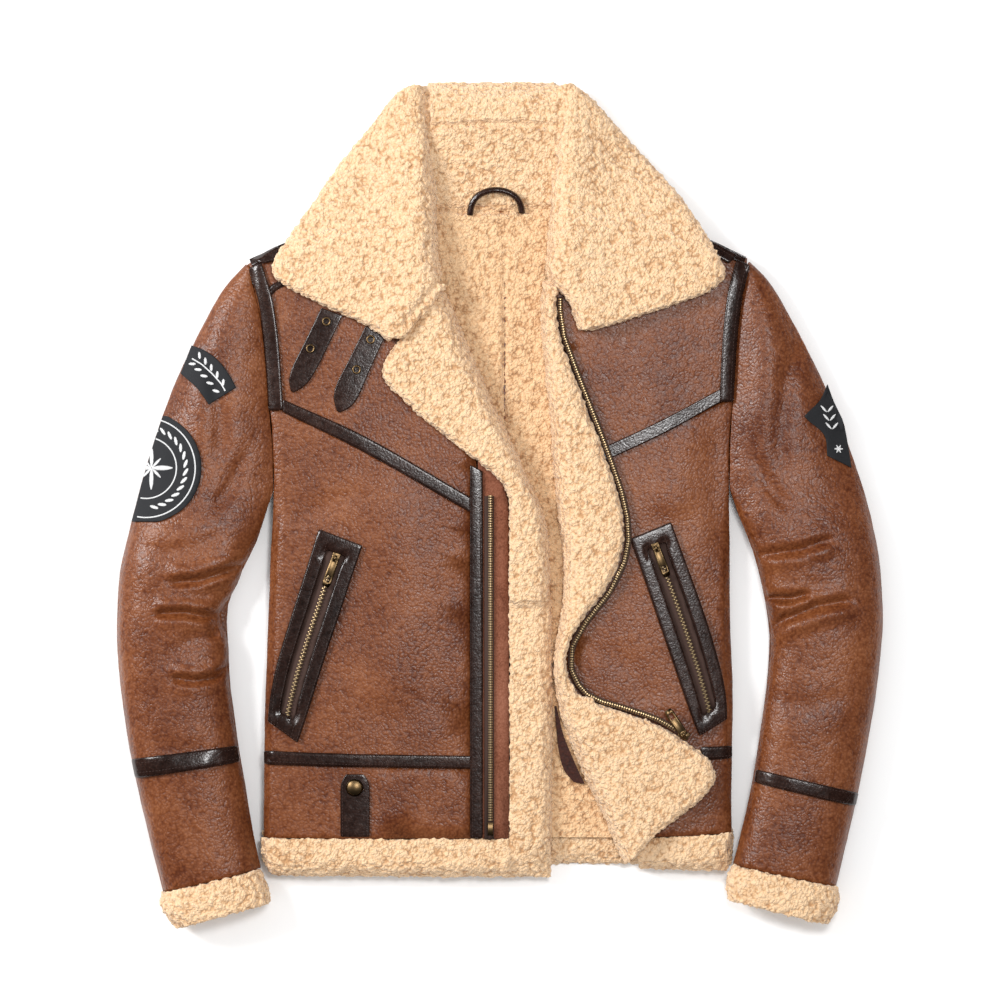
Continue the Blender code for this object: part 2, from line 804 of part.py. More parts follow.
def turned_edges():
    flat = lambda spot: FRONT_SEAT
    turned("right_lapel", RIGHT_LAPEL, 8, 20, False, over_front, lapel_wall, flat,
           lambda spot: spot.start + 4, lapel_hook)
    turned("left_facing", LEFT_FACING, 6, 28, True, over_front, lambda spot: FOLD_WALL, flat,
           lambda spot: 99.0)
    turned("left_flap", LEFT_FLAP, 8, 12, True, over_front, lambda spot: FOLD_WALL, flat,
           lambda spot: spot.end + 2)


def lapel_wall(spot):
    """The lapel thins where it runs down into the edge wool."""
    return mix(FOLD_WALL, 2.0 + CROWN, ease((spot.down - 480) / 110))


def leaf_over(spot):
    """Under a collar leaf: over the yoke, and beyond the shoulder sloping down to the floor."""
    below = below_shoulder(spot.x, spot.down)
    seat = body_top(spot.x, max(spot.down, spot.down - below)) + LEAF_CLEAR
    if below >= 0:
        return seat
    to_roll = spot.right if spot.x < 500 else spot.left
    fold = mix(BACK_TOP + 1.0, 1.0, ease(to_roll / 90))
    return mix(seat, fold, ease(-below / 90))


def leaf_beneath(spot):
    return mix(0.4, FRONT_SEAT, ease((spot.down - 165) / 30))


def leaf_wall(spot):
    to_roll = spot.right if spot.x < 500 else spot.left
    return FOLD_WALL + LEAF_RISE * (1 - ease(to_roll / LEAF_RUN)) * ease((spot.down - 80) / 70)


def stand_top(spot):
    return mix(6.0, mix(27.0, BACK_TOP, ease((spot.down - 95) / 105)), round_edge(spot.start, 14.0))


def collar():
    for name, table, roll_left in (("right_collar_leaf", RIGHT_LEAF, False), ("left_collar_leaf", LEFT_LEAF, True)):
        turned(name, table, 9, 18, roll_left, leaf_over, leaf_wall, leaf_beneath,
               lambda spot: min(spot.start, spot.end) + 3, leaf_hook)
    panel("collar_stand", WOOL, STAND, 5, 7, stand_top, lambda spot: 0.0)


def crease_depth(x, down):
    depth = 0.0
    for crease in SLEEVE_CREASES:
        turn = math.radians(crease.heading)
        along = (x - crease.x) * math.cos(turn) + (down - crease.down) * math.sin(turn)
        across = (down - crease.down) * math.cos(turn) - (x - crease.x) * math.sin(turn)
        depth += crease.depth * math.exp(-(2 * along / crease.length) ** 2 - (2 * across / crease.width) ** 2)
    return depth


def sleeve_profile(u):
    return (1 - abs(2 * u - 1) ** SLEEVE_POWER) ** (1 / SLEEVE_POWER)


def sleeves():
    for name, table in (("right", RIGHT_SLEEVE), ("left", LEFT_SLEEVE)):
        plan = Plan(table, ARMHOLE_GAP)
        flip = name == "left"

        def outer_height(spot, joined):
            """From the outer edge over the sleeve to its inner edge, or to the armhole where it is joined."""
            free = SLEEVE_MID + SLEEVE_RISE * sleeve_profile(spot.u)
            armhole = FRONT_TOP - ARMHOLE_DROP
            hump = min(14.0, 0.14 * spot.width) * math.sin(math.pi * spot.u) ** 0.8
            edge = round_edge(spot.left, min(24.0, spot.width * 0.8))
            held = SLEEVE_MID + (armhole + hump - SLEEVE_MID) * edge
            return mix(free, held, joined) - crease_depth(spot.x, spot.down)

        def top_place(i, j, upper, columns=8):
            v = inside(SLEEVE_STATIONS[j], plan.length, SEAM)
            joined = plan.column(v)
            wide = plan.width(v)
            u = inside(crowded(columns)[i], wide, SEAM)
            if not upper:
                inset = min(SLEEVE_WALL, 0.3 * wide) / wide
                u = mix(inset, 1 - inset * (1 - joined), u)
            u = min(u, 1 - 0.15 / wide)
            spot = plan.spot(u, v)
            if upper:
                height = outer_height(spot, joined)
            else:
                height = max(outer_height(spot, joined) - SLEEVE_WALL, SLEEVE_MID + 0.15)
            return world(spot.x, spot.down, max(height, SLEEVE_MID + 0.15))

        def under_place(i, j, upper, columns=6, rows=18):
            v = inside(j / rows, plan.length, SEAM)
            joined = plan.column(v)
            wide = plan.width(v)
            u = inside(crowded(columns)[i], wide, SEAM)
            if upper:
                inset = min(SLEEVE_WALL, 0.3 * wide) / wide
                edge = u in (inside(0.0, wide, SEAM), inside(1.0, wide, SEAM))
                u = mix(inset, 1 - inset * (1 - joined), u)
                u = min(u, 1 - 0.15 / wide)
                spot = plan.spot(u, v)
                return world(spot.x, spot.down, SLEEVE_MID - 0.15 if edge else SLEEVE_WALL)
            spot = plan.spot(u, v)
            left = 1 - round_edge(spot.left, min(20.0, 0.5 * wide))
            right = (1 - round_edge(spot.right, min(20.0, 0.5 * wide))) * (1 - joined)
            return world(spot.x, spot.down, (SLEEVE_MID - 0.15) * max(left, right))

        slab(name + "_top_sleeve", LEATHER, 8, len(SLEEVE_STATIONS) - 1, top_place)
        slab(name + "_under_sleeve", LEATHER, 6, 18, under_place)
        cuff(name + "_cuff_wool", RIGHT_CUFF if not flip else LEFT_CUFF)


def cuff(name, table, around=20, rows=3):
    """The wool cuff: a ring round the open wrist, flat where it lies."""
    plan = Plan(table)
    mid = SLEEVE_MID + 7.0
    bm = bmesh.new()
    bmesh.ops.create_cone(bm, cap_ends=False, segments=around, radius1=1, radius2=1, depth=2)
    uprights = [edge for edge in bm.edges if abs(edge.verts[0].co.z - edge.verts[1].co.z) > 1]
    bmesh.ops.subdivide_edges(bm, edges=uprights, cuts=rows - 1)
    lifted = bmesh.ops.extrude_face_region(bm, geom=bm.faces[:])
    outer = {vert for vert in lifted["geom"] if isinstance(vert, bmesh.types.BMVert)}
    for vert in bm.verts:
        v = inside((1 - vert.co.z) / 2, plan.length, SEAM)
        angle = math.atan2(vert.co.y, vert.co.x)
        swell = round_edge(min(v, 1 - v) * plan.length + 3, 11.0)
        wall = CUFF_WALL * swell
        wide = plan.width(v) / 2 - (0 if vert in outer else wall) - 2.5 * (1 - swell)
        rise = SLEEVE_RISE - 6.0 + 5.0 * swell - (0 if vert in outer else wall)
        fall = mid * (0.88 + 0.12 * swell) - (0 if vert in outer else wall)
        across = math.copysign(abs(math.cos(angle)) ** (2 / SLEEVE_POWER), math.cos(angle))
        up = math.copysign(abs(math.sin(angle)) ** (2 / SLEEVE_POWER), math.sin(angle))
        share = 0.5 + across * wide / plan.width(v)
        spot = plan.spot(share, v)
        vert.co = world(spot.x, spot.down, mid + up * (rise if up > 0 else fall))
    mesh = closed_mesh(name, bm)
    keep(name, mesh, WOOL)


def carrier(*names):
    """The pieces that a laid strip rests on, as one tree that a ray from above can meet."""
    points, faces = [], []
    for name in names:
        mesh = jacket.objects[name].data
        start = len(points)
        points += [vert.co.copy() for vert in mesh.vertices]
        faces += [[start + i for i in face.vertices] for face in mesh.polygons]
    return BVHTree.FromPolygons(points, faces)


def resting(tree, x, down):
    """The point on the carrier below a place, bridging its seams, and the way its surface faces there."""
    below = Vector((0, 0, -1))
    hits = [tree.ray_cast(world(x + dx, down + ddown, 200.0), below)[0]
            for dx, ddown in ((0, 0), (0.5, 0), (-0.5, 0), (0, 0.5), (0, -0.5))]
    if hits[0] is None:
        hits = [hit for hit in hits if hit is not None]
    if not hits:
        near, facing, _, _ = tree.find_nearest(world(x, down, FRONT_TOP + 2 * CROWN))
        return Vector((*world(x, down, 0).xy, near.z)), facing if facing.z > 0.3 else Vector((0, 0, 1))
    total = Vector((0, 0, 0))
    for dx, ddown in ((0, 0), (3, 0), (-3, 0), (0, 3), (0, -3)):
        near, facing, _, _ = tree.ray_cast(world(x + dx, down + ddown, 200.0), below)
        if near is not None and facing.z > 0.15:
            total += facing
    facing = total.normalized() if total.length > 0 else Vector((0, 0, 1))
    return Vector((*world(x, down, 0).xy, hits[0].z)), facing


def laid(name, look, table, columns, rows, on, thickness, gap=LAID_GAP, across=None, along=None, window=None):
    """A strip that lies on other pieces: their points under it, moved out."""
    plan = Plan(table)
    tree = carrier(*on)
    across = across or even(columns)
    along = along or even(rows)
    thick = thickness if callable(thickness) else lambda spot: thickness

    def place(i, j, upper):
        spot = plan.spot(across[i], along[j])
        hit, facing = resting(tree, spot.x, spot.down)
        return hit + facing * (gap + (thick(spot) if upper else 0.0)) * MM

    return slab(name, look, len(across) - 1, len(along) - 1, place, window)


def tapes():
    fronts_right = ("right_yoke", "right_front", "right_band", "right_placket")
    fronts_left = ("left_yoke", "left_front", "left_band")
    laid("right_yoke_tape", DARK_LEATHER, RIGHT_YOKE_TAPE, 2, 16, fronts_right, TAPE, gap=0.6)
    laid("left_yoke_tape", DARK_LEATHER, LEFT_YOKE_TAPE, 2, 14, fronts_left, TAPE, gap=0.6)
    laid("right_waist_tape", DARK_LEATHER, RIGHT_WAIST_TAPE, 2, 0, fronts_right, TAPE, gap=0.7,
         along=[0, 0.01, 0.022, 0.036, 0.052, 0.07, 0.1, 0.2, 0.4, 0.7, 1.0])
    laid("left_waist_tape", DARK_LEATHER, LEFT_WAIST_TAPE, 2, 8, fronts_left, TAPE, gap=0.9)
    laid("right_placket_tape", DARK_LEATHER, RIGHT_PLACKET_TAPE, 2, 8, fronts_right, TAPE)
    laid("right_armhole_tape", DARK_LEATHER, RIGHT_ARMHOLE_TAPE, 2, 12, fronts_right, TAPE, gap=0.9)
    laid("left_armhole_tape", DARK_LEATHER, LEFT_ARMHOLE_TAPE, 2, 14, fronts_left, TAPE, gap=1.1)
    laid("right_shoulder_tape", DARK_LEATHER, RIGHT_SHOULDER_TAPE, 4, 9, fronts_right, TAPE, gap=0.85)
    laid("left_shoulder_tape", DARK_LEATHER, LEFT_SHOULDER_TAPE, 4, 9, fronts_left, TAPE, gap=0.85)
    wrist_tape("right_wrist_tape", RIGHT_SLEEVE, "right_top_sleeve")
    wrist_tape("left_wrist_tape", LEFT_SLEEVE, "left_top_sleeve")


def wrist_tape(name, table, sleeve):
    """The binding across the top sleeve above its cuff."""
    plan = Plan(table)
    rows = []
    for share in (0.022, 0.2, 0.5, 0.8, 0.978):
        top = plan.spot(share, WRIST_START)
        low = plan.spot(share, WRIST_END)
        rows.append(Section(top.x, top.down, low.x, low.down))
    laid(name, DARK_LEATHER, rows, 2, 16, (sleeve,), TAPE, along=crowded(16), gap=0.7)


def straps_and_tab():
    laid("throat_strap_1", DARK_LEATHER, STRAP_1, 2, 8, ("right_yoke",), 2.2)
    laid("throat_strap_2", DARK_LEATHER, STRAP_2, 2, 8, ("right_yoke",), 2.2)
    laid("hem_tab", DARK_LEATHER, HEM_TAB, 2, 6, ("right_band",), 2.2)
    for name, (x, down) in EYELETS.items():
        hit, facing = resting(carrier("throat_strap_1", "throat_strap_2"), x, down)
        bpy.ops.mesh.primitive_torus_add(
            major_radius=EYELET_RADIUS * MM, minor_radius=EYELET_WIRE * MM, major_segments=12, minor_segments=5)
        adopt(name, BRASS, hit + facing * (EYELET_WIRE + SEAM) * MM, facing)
    hit, facing = resting(carrier("hem_tab"), *SNAP_AT)
    bpy.ops.mesh.primitive_cone_add(
        vertices=20, radius1=SNAP_RADIUS * MM, radius2=SNAP_RADIUS * 0.72 * MM, depth=SNAP_HEIGHT * MM)
    adopt("hem_tab_snap", BRASS, hit + facing * (SNAP_HEIGHT / 2 + SEAM) * MM, facing)


def adopt(name, look, where, facing):
    """Take the primitive that was just added, name it and set it on its surface."""
    body = bpy.context.object
    body.name = name
    for holder in list(body.users_collection):
        holder.objects.unlink(body)
    jacket.objects.link(body)
    body.location = where
    body.rotation_euler = facing.to_track_quat("Z", "Y").to_euler()
    body.data.materials.append(finish(look))
    body.data.shade_smooth()
    body.data.set_sharp_from_angle(angle=math.radians(40))


def pocket_rows():
    inner = [RAIL_END + (1 - 2 * RAIL_END) * i / 8 for i in range(9)]
    return [0.0] + inner + [1.0]


def pocket(name, table, on):
    """A leather welt round a zip: a strip with its middle left open, and the zip in the opening."""
    rows = pocket_rows()

    def opening(centre):
        row = (1 - centre.y) / 2 * (len(rows) - 1)
        return abs(centre.x) < 0.4 and 1 < row < len(rows) - 2

    across = [0.0, RAIL / 2, RAIL, 1 - RAIL, 1 - RAIL / 2, 1.0]
    laid(name + "_welt", DARK_LEATHER, table, 5, 0, on, WELT, gap=WELT_GAP, across=across, along=rows, window=opening)
    plan = Plan(table)
    gap = SEAM / plan.width(0.5)
    end = SEAM / plan.length
    low, high = RAIL + gap, 1 - RAIL - gap
    teeth = TEETH_HALF / plan.width(0.5)
    stations = [low, 0.5 - teeth, 0.5 - teeth * 0.6, 0.5 + teeth * 0.6, 0.5 + teeth, high]

    def raised(spot):
        return POCKET_TAPE + (TEETH if abs(spot.u - 0.5) < teeth * 0.8 else 0.0)

    zip_rows = [RAIL_END + end] + rows[2:-2] + [1 - RAIL_END - end]
    laid(name + "_zip", BRASS, table, 5, 0, on, raised, across=stations, along=zip_rows)


def front_zips():
    def raised(spot):
        on_teeth = ZIP_TEETH[0] < spot.u < ZIP_TEETH[1]
        return ZIP_CLOTH + (TEETH if on_teeth else 0.0)

    across = [0, ZIP_TEETH[0] - 0.02, ZIP_TEETH[0] + 0.02, ZIP_TEETH[1] - 0.02, ZIP_TEETH[1] + 0.02, 1.0]
    laid("right_zip", BRASS, ZIP_TAPE, 0, 10, ("right_placket",), raised, across=across)

    def top(spot):
        return body_top(spot.x, spot.down) + FOLD_CLEAR + LEFT_ZIP_TOP

    def bottom(spot):
        return body_top(spot.x, spot.down) + FOLD_CLEAR + LEFT_ZIP_SEAT

    panel("left_zip", BRASS, LEFT_ZIP, 1, 46, top, bottom, across=even(1))


def zip_pull(name, zip_line, height):
    """A slider with an arch along its top, and a tab whose round eye hangs in the arch."""
    slider = name + "_slider"
    wide, long, thick = SLIDER
    bpy.ops.mesh.primitive_cube_add(size=1)
    body = bpy.context.object
    body.data.transform(scaling(wide * MM, long * MM, thick * MM))
    turn = math.radians(zip_line.heading)
    where = world(zip_line.slider_x, zip_line.slider_down, height + thick / 2)
    adopt(slider, BRASS, where, Vector((0, 0, 1)))
    body.rotation_euler = Euler((0, 0, turn - math.pi / 2))
    bevel = body.modifiers.new("edges", "BEVEL")
    bevel.width = 0.7 * MM
    bevel.segments = 2
    arch = half_ring(slider + "_arch")
    arch.location = world(zip_line.slider_x, zip_line.slider_down, height + thick + BAR)
    arch.rotation_euler = Euler((0, 0, math.radians(zip_line.tab_heading) - math.pi / 2))
    joint = body.modifiers.new("arch", "BOOLEAN")
    joint.operation = "UNION"
    joint.object = arch
    pull_tab(name + "_pull", arch.location, arch.rotation_euler)


def scaling(x, y, z):
    grown = Euler((0, 0, 0)).to_matrix().to_4x4()
    grown[0][0], grown[1][1], grown[2][2] = x, y, z
    return grown


def half_ring(name):
    """The slider's arch: half a flat ring on two short legs, standing along the tab."""
    bm = bmesh.new()
    outline = []
    for radius, turns in ((ARCH_OUTER, range(9)), (ARCH_INNER, range(8, -1, -1))):
        foot = -BAR - 0.6
        points = [(radius * math.cos(math.pi * i / 8), radius * math.sin(math.pi * i / 8)) for i in turns]
        points = [(points[0][0], foot)] + points + [(points[-1][0], foot)]
        outline += points
    verts = [bm.verts.new(Vector((-ARCH_WIDTH / 2, y, z)) * MM) for y, z in outline]
    face = bm.faces.new(verts)
    swept = bmesh.ops.extrude_face_region(bm, geom=[face])
    moved = [vert for vert in swept["geom"] if isinstance(vert, bmesh.types.BMVert)]
    bmesh.ops.translate(bm, verts=moved, vec=Vector((ARCH_WIDTH, 0, 0)) * MM)
    mesh = closed_mesh(name, bm)
    arch = bpy.data.objects.new(name, mesh)
    arch.hide_render = True
    arch.display_type = "WIRE"
    cutters.objects.link(arch)
    return arch


def pull_tab(name, axis_at, turned_by):
    """The tab: a flat plate with a square eye at its head, whose end bar lies under the arch."""
    wide, long = TAB
    across = [-wide / 2, -EYE[0] / 2, EYE[0] / 2, wide / 2]
    along = [0.6, -0.6, -0.6 - EYE[1], -long * 0.62, -long * 0.62 - 6.5, -long]
    taper = [0.8, 0.86, 0.92, 1.0, 1.0, 0.75]

    def open_cell(centre):
        row = int((1 - centre.y) / 2 * 5)
        return abs(centre.x) < 0.3 and row in (1, 3)

    def place(i, j, upper):
        return Vector((across[i] * taper[j], along[j], 0.6 if upper else -0.6)) * MM

    tab = slab(name, BRASS, 3, 5, place, open_cell)
    tab.location = axis_at
    tab.rotation_euler = turned_by
    tab.rotation_euler.z += math.pi


def small_parts():
    pocket("right_pocket", RIGHT_POCKET, ("right_front",))
    pocket("left_pocket", LEFT_POCKET, ("left_front",))
    front_zips()
    right_top = body_top(RIGHT_POCKET_ZIP.slider_x, RIGHT_POCKET_ZIP.slider_down)
    left_top = body_top(LEFT_POCKET_ZIP.slider_x, LEFT_POCKET_ZIP.slider_down)
    above_welt = WELT_GAP + WELT + SEAM + 0.2
    zip_pull("right_pocket", RIGHT_POCKET_ZIP, right_top + above_welt)
    zip_pull("left_pocket", LEFT_POCKET_ZIP, left_top + above_welt)
    main_top = body_top(MAIN_ZIP.slider_x, MAIN_ZIP.slider_down) + FOLD_CLEAR + LEFT_ZIP_TOP + 0.7
    zip_pull("main", MAIN_ZIP, main_top)
    hanger_loop()
    laid("inner_pocket", DARK_LEATHER, INNER_POCKET, 2, 16, ("back",), 1.5)


def hanger_loop():
    (x0, d0), (x1, d1) = HANGER_FEET
    curve = bpy.data.curves.new("hanger_loop", "CURVE")
    curve.dimensions = "3D"
    line = curve.splines.new("POLY")
    count = 12
    line.points.add(count)
    for i in range(count + 1):
        t = i / count
        x = (x0 + x1) / 2 - (x1 - x0) / 2 * math.cos(math.pi * t)
        down = mix(d0, d1, t) - (mix(d0, d1, t) - HANGER_TOP) * math.sin(math.pi * t) ** 0.8
        rise = BACK_TOP + HANGER_RADIUS + SEAM + HANGER_ARCH * math.sin(math.pi * t)
        line.points[i].co = (*world(x, down, rise), 1.0)
    curve.bevel_depth = HANGER_RADIUS * MM
    curve.bevel_resolution = 2
    curve.use_fill_caps = True
    loop = bpy.data.objects.new("hanger_loop", curve)
    curve.materials.append(finish(DARK_LEATHER))
    jacket.objects.link(loop)


def patches():
    laid("right_sleeve_arc_patch", PATCH_CLOTH, ARC_PATCH, 5, 9, ("right_top_sleeve",), PATCH, gap=0.8)
    sleeve_edge = Plan(RIGHT_SLEEVE)
    rows = []
    for step in range(13):
        down = mix(*ROUND_ENDS, step / 12)
        half = math.sqrt(max(ROUND_RADIUS ** 2 - (down - ROUND_CENTRE[1]) ** 2, 0))
        edge = float(np.interp(down, sleeve_edge.rows[:, 1], sleeve_edge.rows[:, 0]))
        rows.append(Section(max(ROUND_CENTRE[0] - half, edge + 2.2), down, ROUND_CENTRE[0] + half, down))
    laid("right_sleeve_round_patch", PATCH_CLOTH, rows, 8, 13, ("right_top_sleeve",), PATCH, gap=1.1,
         across=[0, 0.04, 0.1, 0.19, 0.32, 0.5, 0.75, 1.0])
    laid("left_sleeve_patch", PATCH_CLOTH, LEFT_PATCH, 6, 10, ("left_top_sleeve",), PATCH, gap=1.1)


fronts()
turned_edges()
collar()
sleeves()
tapes()
straps_and_tab()
small_parts()
patches()
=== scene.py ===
"""The sheepskin flying jacket as it looks: grained leather, curly wool, waxed bindings, zips and stitching.

Places on the jacket are read on the same one-metre cutting table as its sizes: x from the left edge and down
from the far edge, in millimetres.
"""
import math
from collections import namedtuple

import bmesh
import bpy
import numpy as np
from mathutils import Matrix, Vector, kdtree
from mathutils.bvhtree import BVHTree


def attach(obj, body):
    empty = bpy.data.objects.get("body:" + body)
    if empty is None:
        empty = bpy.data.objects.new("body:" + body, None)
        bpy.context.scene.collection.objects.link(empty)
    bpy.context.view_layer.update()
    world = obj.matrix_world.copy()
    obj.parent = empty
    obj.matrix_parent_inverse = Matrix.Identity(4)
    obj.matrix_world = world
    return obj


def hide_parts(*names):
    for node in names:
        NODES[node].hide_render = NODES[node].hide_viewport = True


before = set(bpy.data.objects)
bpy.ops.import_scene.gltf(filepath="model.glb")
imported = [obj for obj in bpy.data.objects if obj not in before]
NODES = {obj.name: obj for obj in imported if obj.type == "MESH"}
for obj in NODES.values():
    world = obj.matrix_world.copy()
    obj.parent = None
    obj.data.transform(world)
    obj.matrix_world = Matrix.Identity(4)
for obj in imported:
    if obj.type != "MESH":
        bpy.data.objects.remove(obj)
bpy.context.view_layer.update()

MM = 0.001
TABLE_CENTRE = (500.0, 503.0)
TINY = 1e-6

# Nothing reaches lower than this height in metres; every other size is in millimetres
SURFACE = 0.0002
# Wool: its curls, the tufts on them and the slow clumps beneath, then how finely it is meshed and how far it swells
CURL_SIZE = 5.6
CURL_HEIGHT = 1.7
TUFT_SIZE = 3.2
TUFT_HEIGHT = 0.75
CLUMP_SIZE = 30.0
CLUMP_HEIGHT = 1.4
WOOL_VOXEL = 1.7
WOOL_GROWTH = 0.5
INNER_WOOL_CORNERS = ((430, 205), (612, 837.5))
INNER_WOOL_HEIGHT = 17.6
INNER_WOOL_SPACING = 1.9
# Leather: slow waves and small wrinkles, and the dip beside each seam
BROAD_WRINKLE = 2.4
SMALL_WRINKLE = 0.9
SEAM_PINCH = 1.5
SEAM_PINCH_WIDTH = 3.6
# Folded bindings: how far their middle rises, and how wide the slope beside it is
BINDING_RISE = 1.7
BINDING_SLOPE = 3.4
FOLDED_EDGE = 0.45
BRASS_EDGE = 0.25
POCKET_RISE = 4.6
# How far the foot of a tooth stands over its tape
TOOTH_SEAT = 0.05

# Where a sleeve's head is drawn up to the shoulder: x, down, and how far it moves
SLEEVE_TIPS = {"right_top_sleeve": (242, 267, 4.0, -3.0), "right_under_sleeve": (242, 267, 4.0, -3.0),
               "left_top_sleeve": (753, 265, -4.0, -3.0), "left_under_sleeve": (753, 265, -4.0, -3.0)}
SLEEVE_TIP_REACH = 11.0

Fold = namedtuple("Fold", "depth width ridge points")

# The main folds of the sleeves, each a valley along its points with a ridge on its lower side
RIGHT_FOLDS = [
    Fold(6.2, 4.6, 0.5, [(247, 563), (227, 571), (200, 580), (166, 582)]),
    Fold(7.4, 4.2, 0.5, [(221, 615), (205, 616), (186, 612), (153, 613)]),
    Fold(2.6, 5.0, 0.3, [(219, 616), (216, 628), (214, 640)]),
    Fold(7.0, 3.8, 0.4, [(230, 664), (216, 677), (195, 680), (168, 676)]),
    Fold(2.0, 9.0, 0.4, [(140, 545), (165, 552), (200, 546), (232, 530)]),
    Fold(2.4, 8.0, 0.3, [(196, 330), (214, 372), (222, 420), (220, 470)]),
    Fold(-2.4, 16.0, 0.0, [(218, 300), (196, 360), (200, 450), (182, 520)]),
    Fold(2.2, 7.0, 0.5, [(246, 452), (232, 486), (214, 512)]),
    Fold(1.4, 9.0, 0.3, [(150, 740), (185, 752), (215, 744)]),
]
LEFT_FOLDS = [
    Fold(5.6, 4.4, 0.5, [(757, 556), (769, 554), (800, 549), (836, 537)]),
    Fold(7.2, 3.8, 0.5, [(762, 597), (771, 598), (790, 598), (812, 592)]),
    Fold(6.6, 5.0, 0.6, [(768, 630), (784, 619), (815, 606), (855, 599)]),
    Fold(2.6, 9.0, 0.3, [(800, 330), (786, 380), (780, 430), (778, 480)]),
    Fold(-2.2, 14.0, 0.0, [(766, 300), (764, 370), (754, 440)]),
    Fold(2.4, 7.0, 0.5, [(752, 452), (768, 486), (790, 512)]),
    Fold(1.6, 9.0, 0.3, [(776, 700), (810, 706), (846, 694)]),
]
# Soft dents in the fronts where the sheepskin bends
FRONT_FOLDS = [
    Fold(-3.6, 26.0, 0.0, [(392, 480), (402, 600), (390, 730)]),
    Fold(1.8, 12.0, 0.2, [(452, 520), (456, 620), (448, 730)]),
    Fold(-3.0, 20.0, 0.0, [(690, 420), (676, 480), (668, 520)]),
    Fold(1.6, 10.0, 0.2, [(716, 420), (716, 500), (722, 560)]),
    Fold(1.2, 9.0, 0.4, [(300, 520), (330, 500), (372, 492)]),
    Fold(1.0, 12.0, 0.3, [(360, 720), (420, 700), (465, 705)]),
    Fold(1.0, 10.0, 0.3, [(600, 520), (622, 560), (628, 610)]),
    Fold(1.0, 12.0, 0.3, [(612, 640), (640, 690), (664, 700)]),
]


def at(x, down, height=0.0):
    """A point over the cutting table, in metres from the middle of the laid jacket."""
    return Vector((x - TABLE_CENTRE[0], TABLE_CENTRE[1] - down, height)) * MM


def colour(code):
    """A linear colour from a six-figure sRGB code."""
    parts = [int(code[i:i + 2], 16) / 255 for i in (1, 3, 5)]
    return tuple(c / 12.92 if c <= 0.04045 else ((c + 0.055) / 1.055) ** 2.4 for c in parts) + (1.0,)


def add_node(tree, kind, settings=None, **inputs):
    """Add a node to a tree, set its options, and set or link its inputs by name or number."""
    node = tree.nodes.new(kind)
    for key, value in (settings or {}).items():
        setattr(node, key, value)
    for key, value in inputs.items():
        numbered = key[0] == "i" and key[1:].isdigit()
        socket = node.inputs[int(key[1:]) if numbered else key.replace("_", " ")]
        if isinstance(value, bpy.types.NodeSocket):
            tree.links.new(value, socket)
        else:
            socket.default_value = value
    return node


def new_material(name, roughness, metallic=0.0):
    material = bpy.data.materials.new(name)
    material.use_nodes = True
    shader = material.node_tree.nodes["Principled BSDF"]
    shader.inputs["Roughness"].default_value = roughness
    shader.inputs["Metallic"].default_value = metallic
    return material, material.node_tree, shader


def ramp(tree, factor, stops):
    """A colour ramp from (place, colour code) stops."""
    node = add_node(tree, "ShaderNodeValToRGB", None, Fac=factor)
    elements = node.color_ramp.elements
    while len(elements) < len(stops):
        elements.new(0.5)
    for element, (place, code) in zip(elements, stops):
        element.position = place
        element.color = colour(code)
    return node.outputs["Color"]


def math_node(tree, operation, a, b=0.0, c=0.0):
    return add_node(tree, "ShaderNodeMath", {"operation": operation}, i0=a, i1=b, i2=c).outputs[0]


def object_place(tree):
    return add_node(tree, "ShaderNodeTexCoord").outputs["Object"]


def noise(tree, place, size, detail=2.0, roughness=0.5):
    """Noise whose features are about size millimetres wide."""
    return add_node(tree, "ShaderNodeTexNoise", None, Vector=place, Scale=1000.0 / size, Detail=detail,
                    Roughness=roughness).outputs[0]


def cells(tree, place, size, smoothness=None):
    """Distance from the middles of random cells about size millimetres wide, with soft borders if asked for."""
    if smoothness is None:
        return add_node(tree, "ShaderNodeTexVoronoi", None, Vector=place, Scale=1000.0 / size).outputs["Distance"]
    return add_node(tree, "ShaderNodeTexVoronoi", {"feature": "SMOOTH_F1"}, Vector=place, Scale=1000.0 / size,
                    Smoothness=smoothness).outputs["Distance"]


def bump(tree, height, strength, distance, normal=None):
    inputs = {"Height": height, "Strength": strength, "Distance": distance * MM}
    if normal is not None:
        inputs["Normal"] = normal
    return add_node(tree, "ShaderNodeBump", None, **inputs).outputs["Normal"]


def warped_place(tree, place, size, reach):
    """Places pushed about by noise, so that a pattern on them isn't regular."""
    drift = add_node(tree, "ShaderNodeTexNoise", None, Vector=place, Scale=1000.0 / size, Detail=1.0).outputs["Color"]
    drift = add_node(tree, "ShaderNodeVectorMath", {"operation": "SUBTRACT"}, i0=drift, i1=(0.5, 0.5, 0.5)).outputs[0]
    drift = add_node(tree, "ShaderNodeVectorMath", {"operation": "SCALE"}, i0=drift, Scale=reach * MM).outputs[0]
    return add_node(tree, "ShaderNodeVectorMath", {"operation": "ADD"}, i0=place, i1=drift).outputs[0]


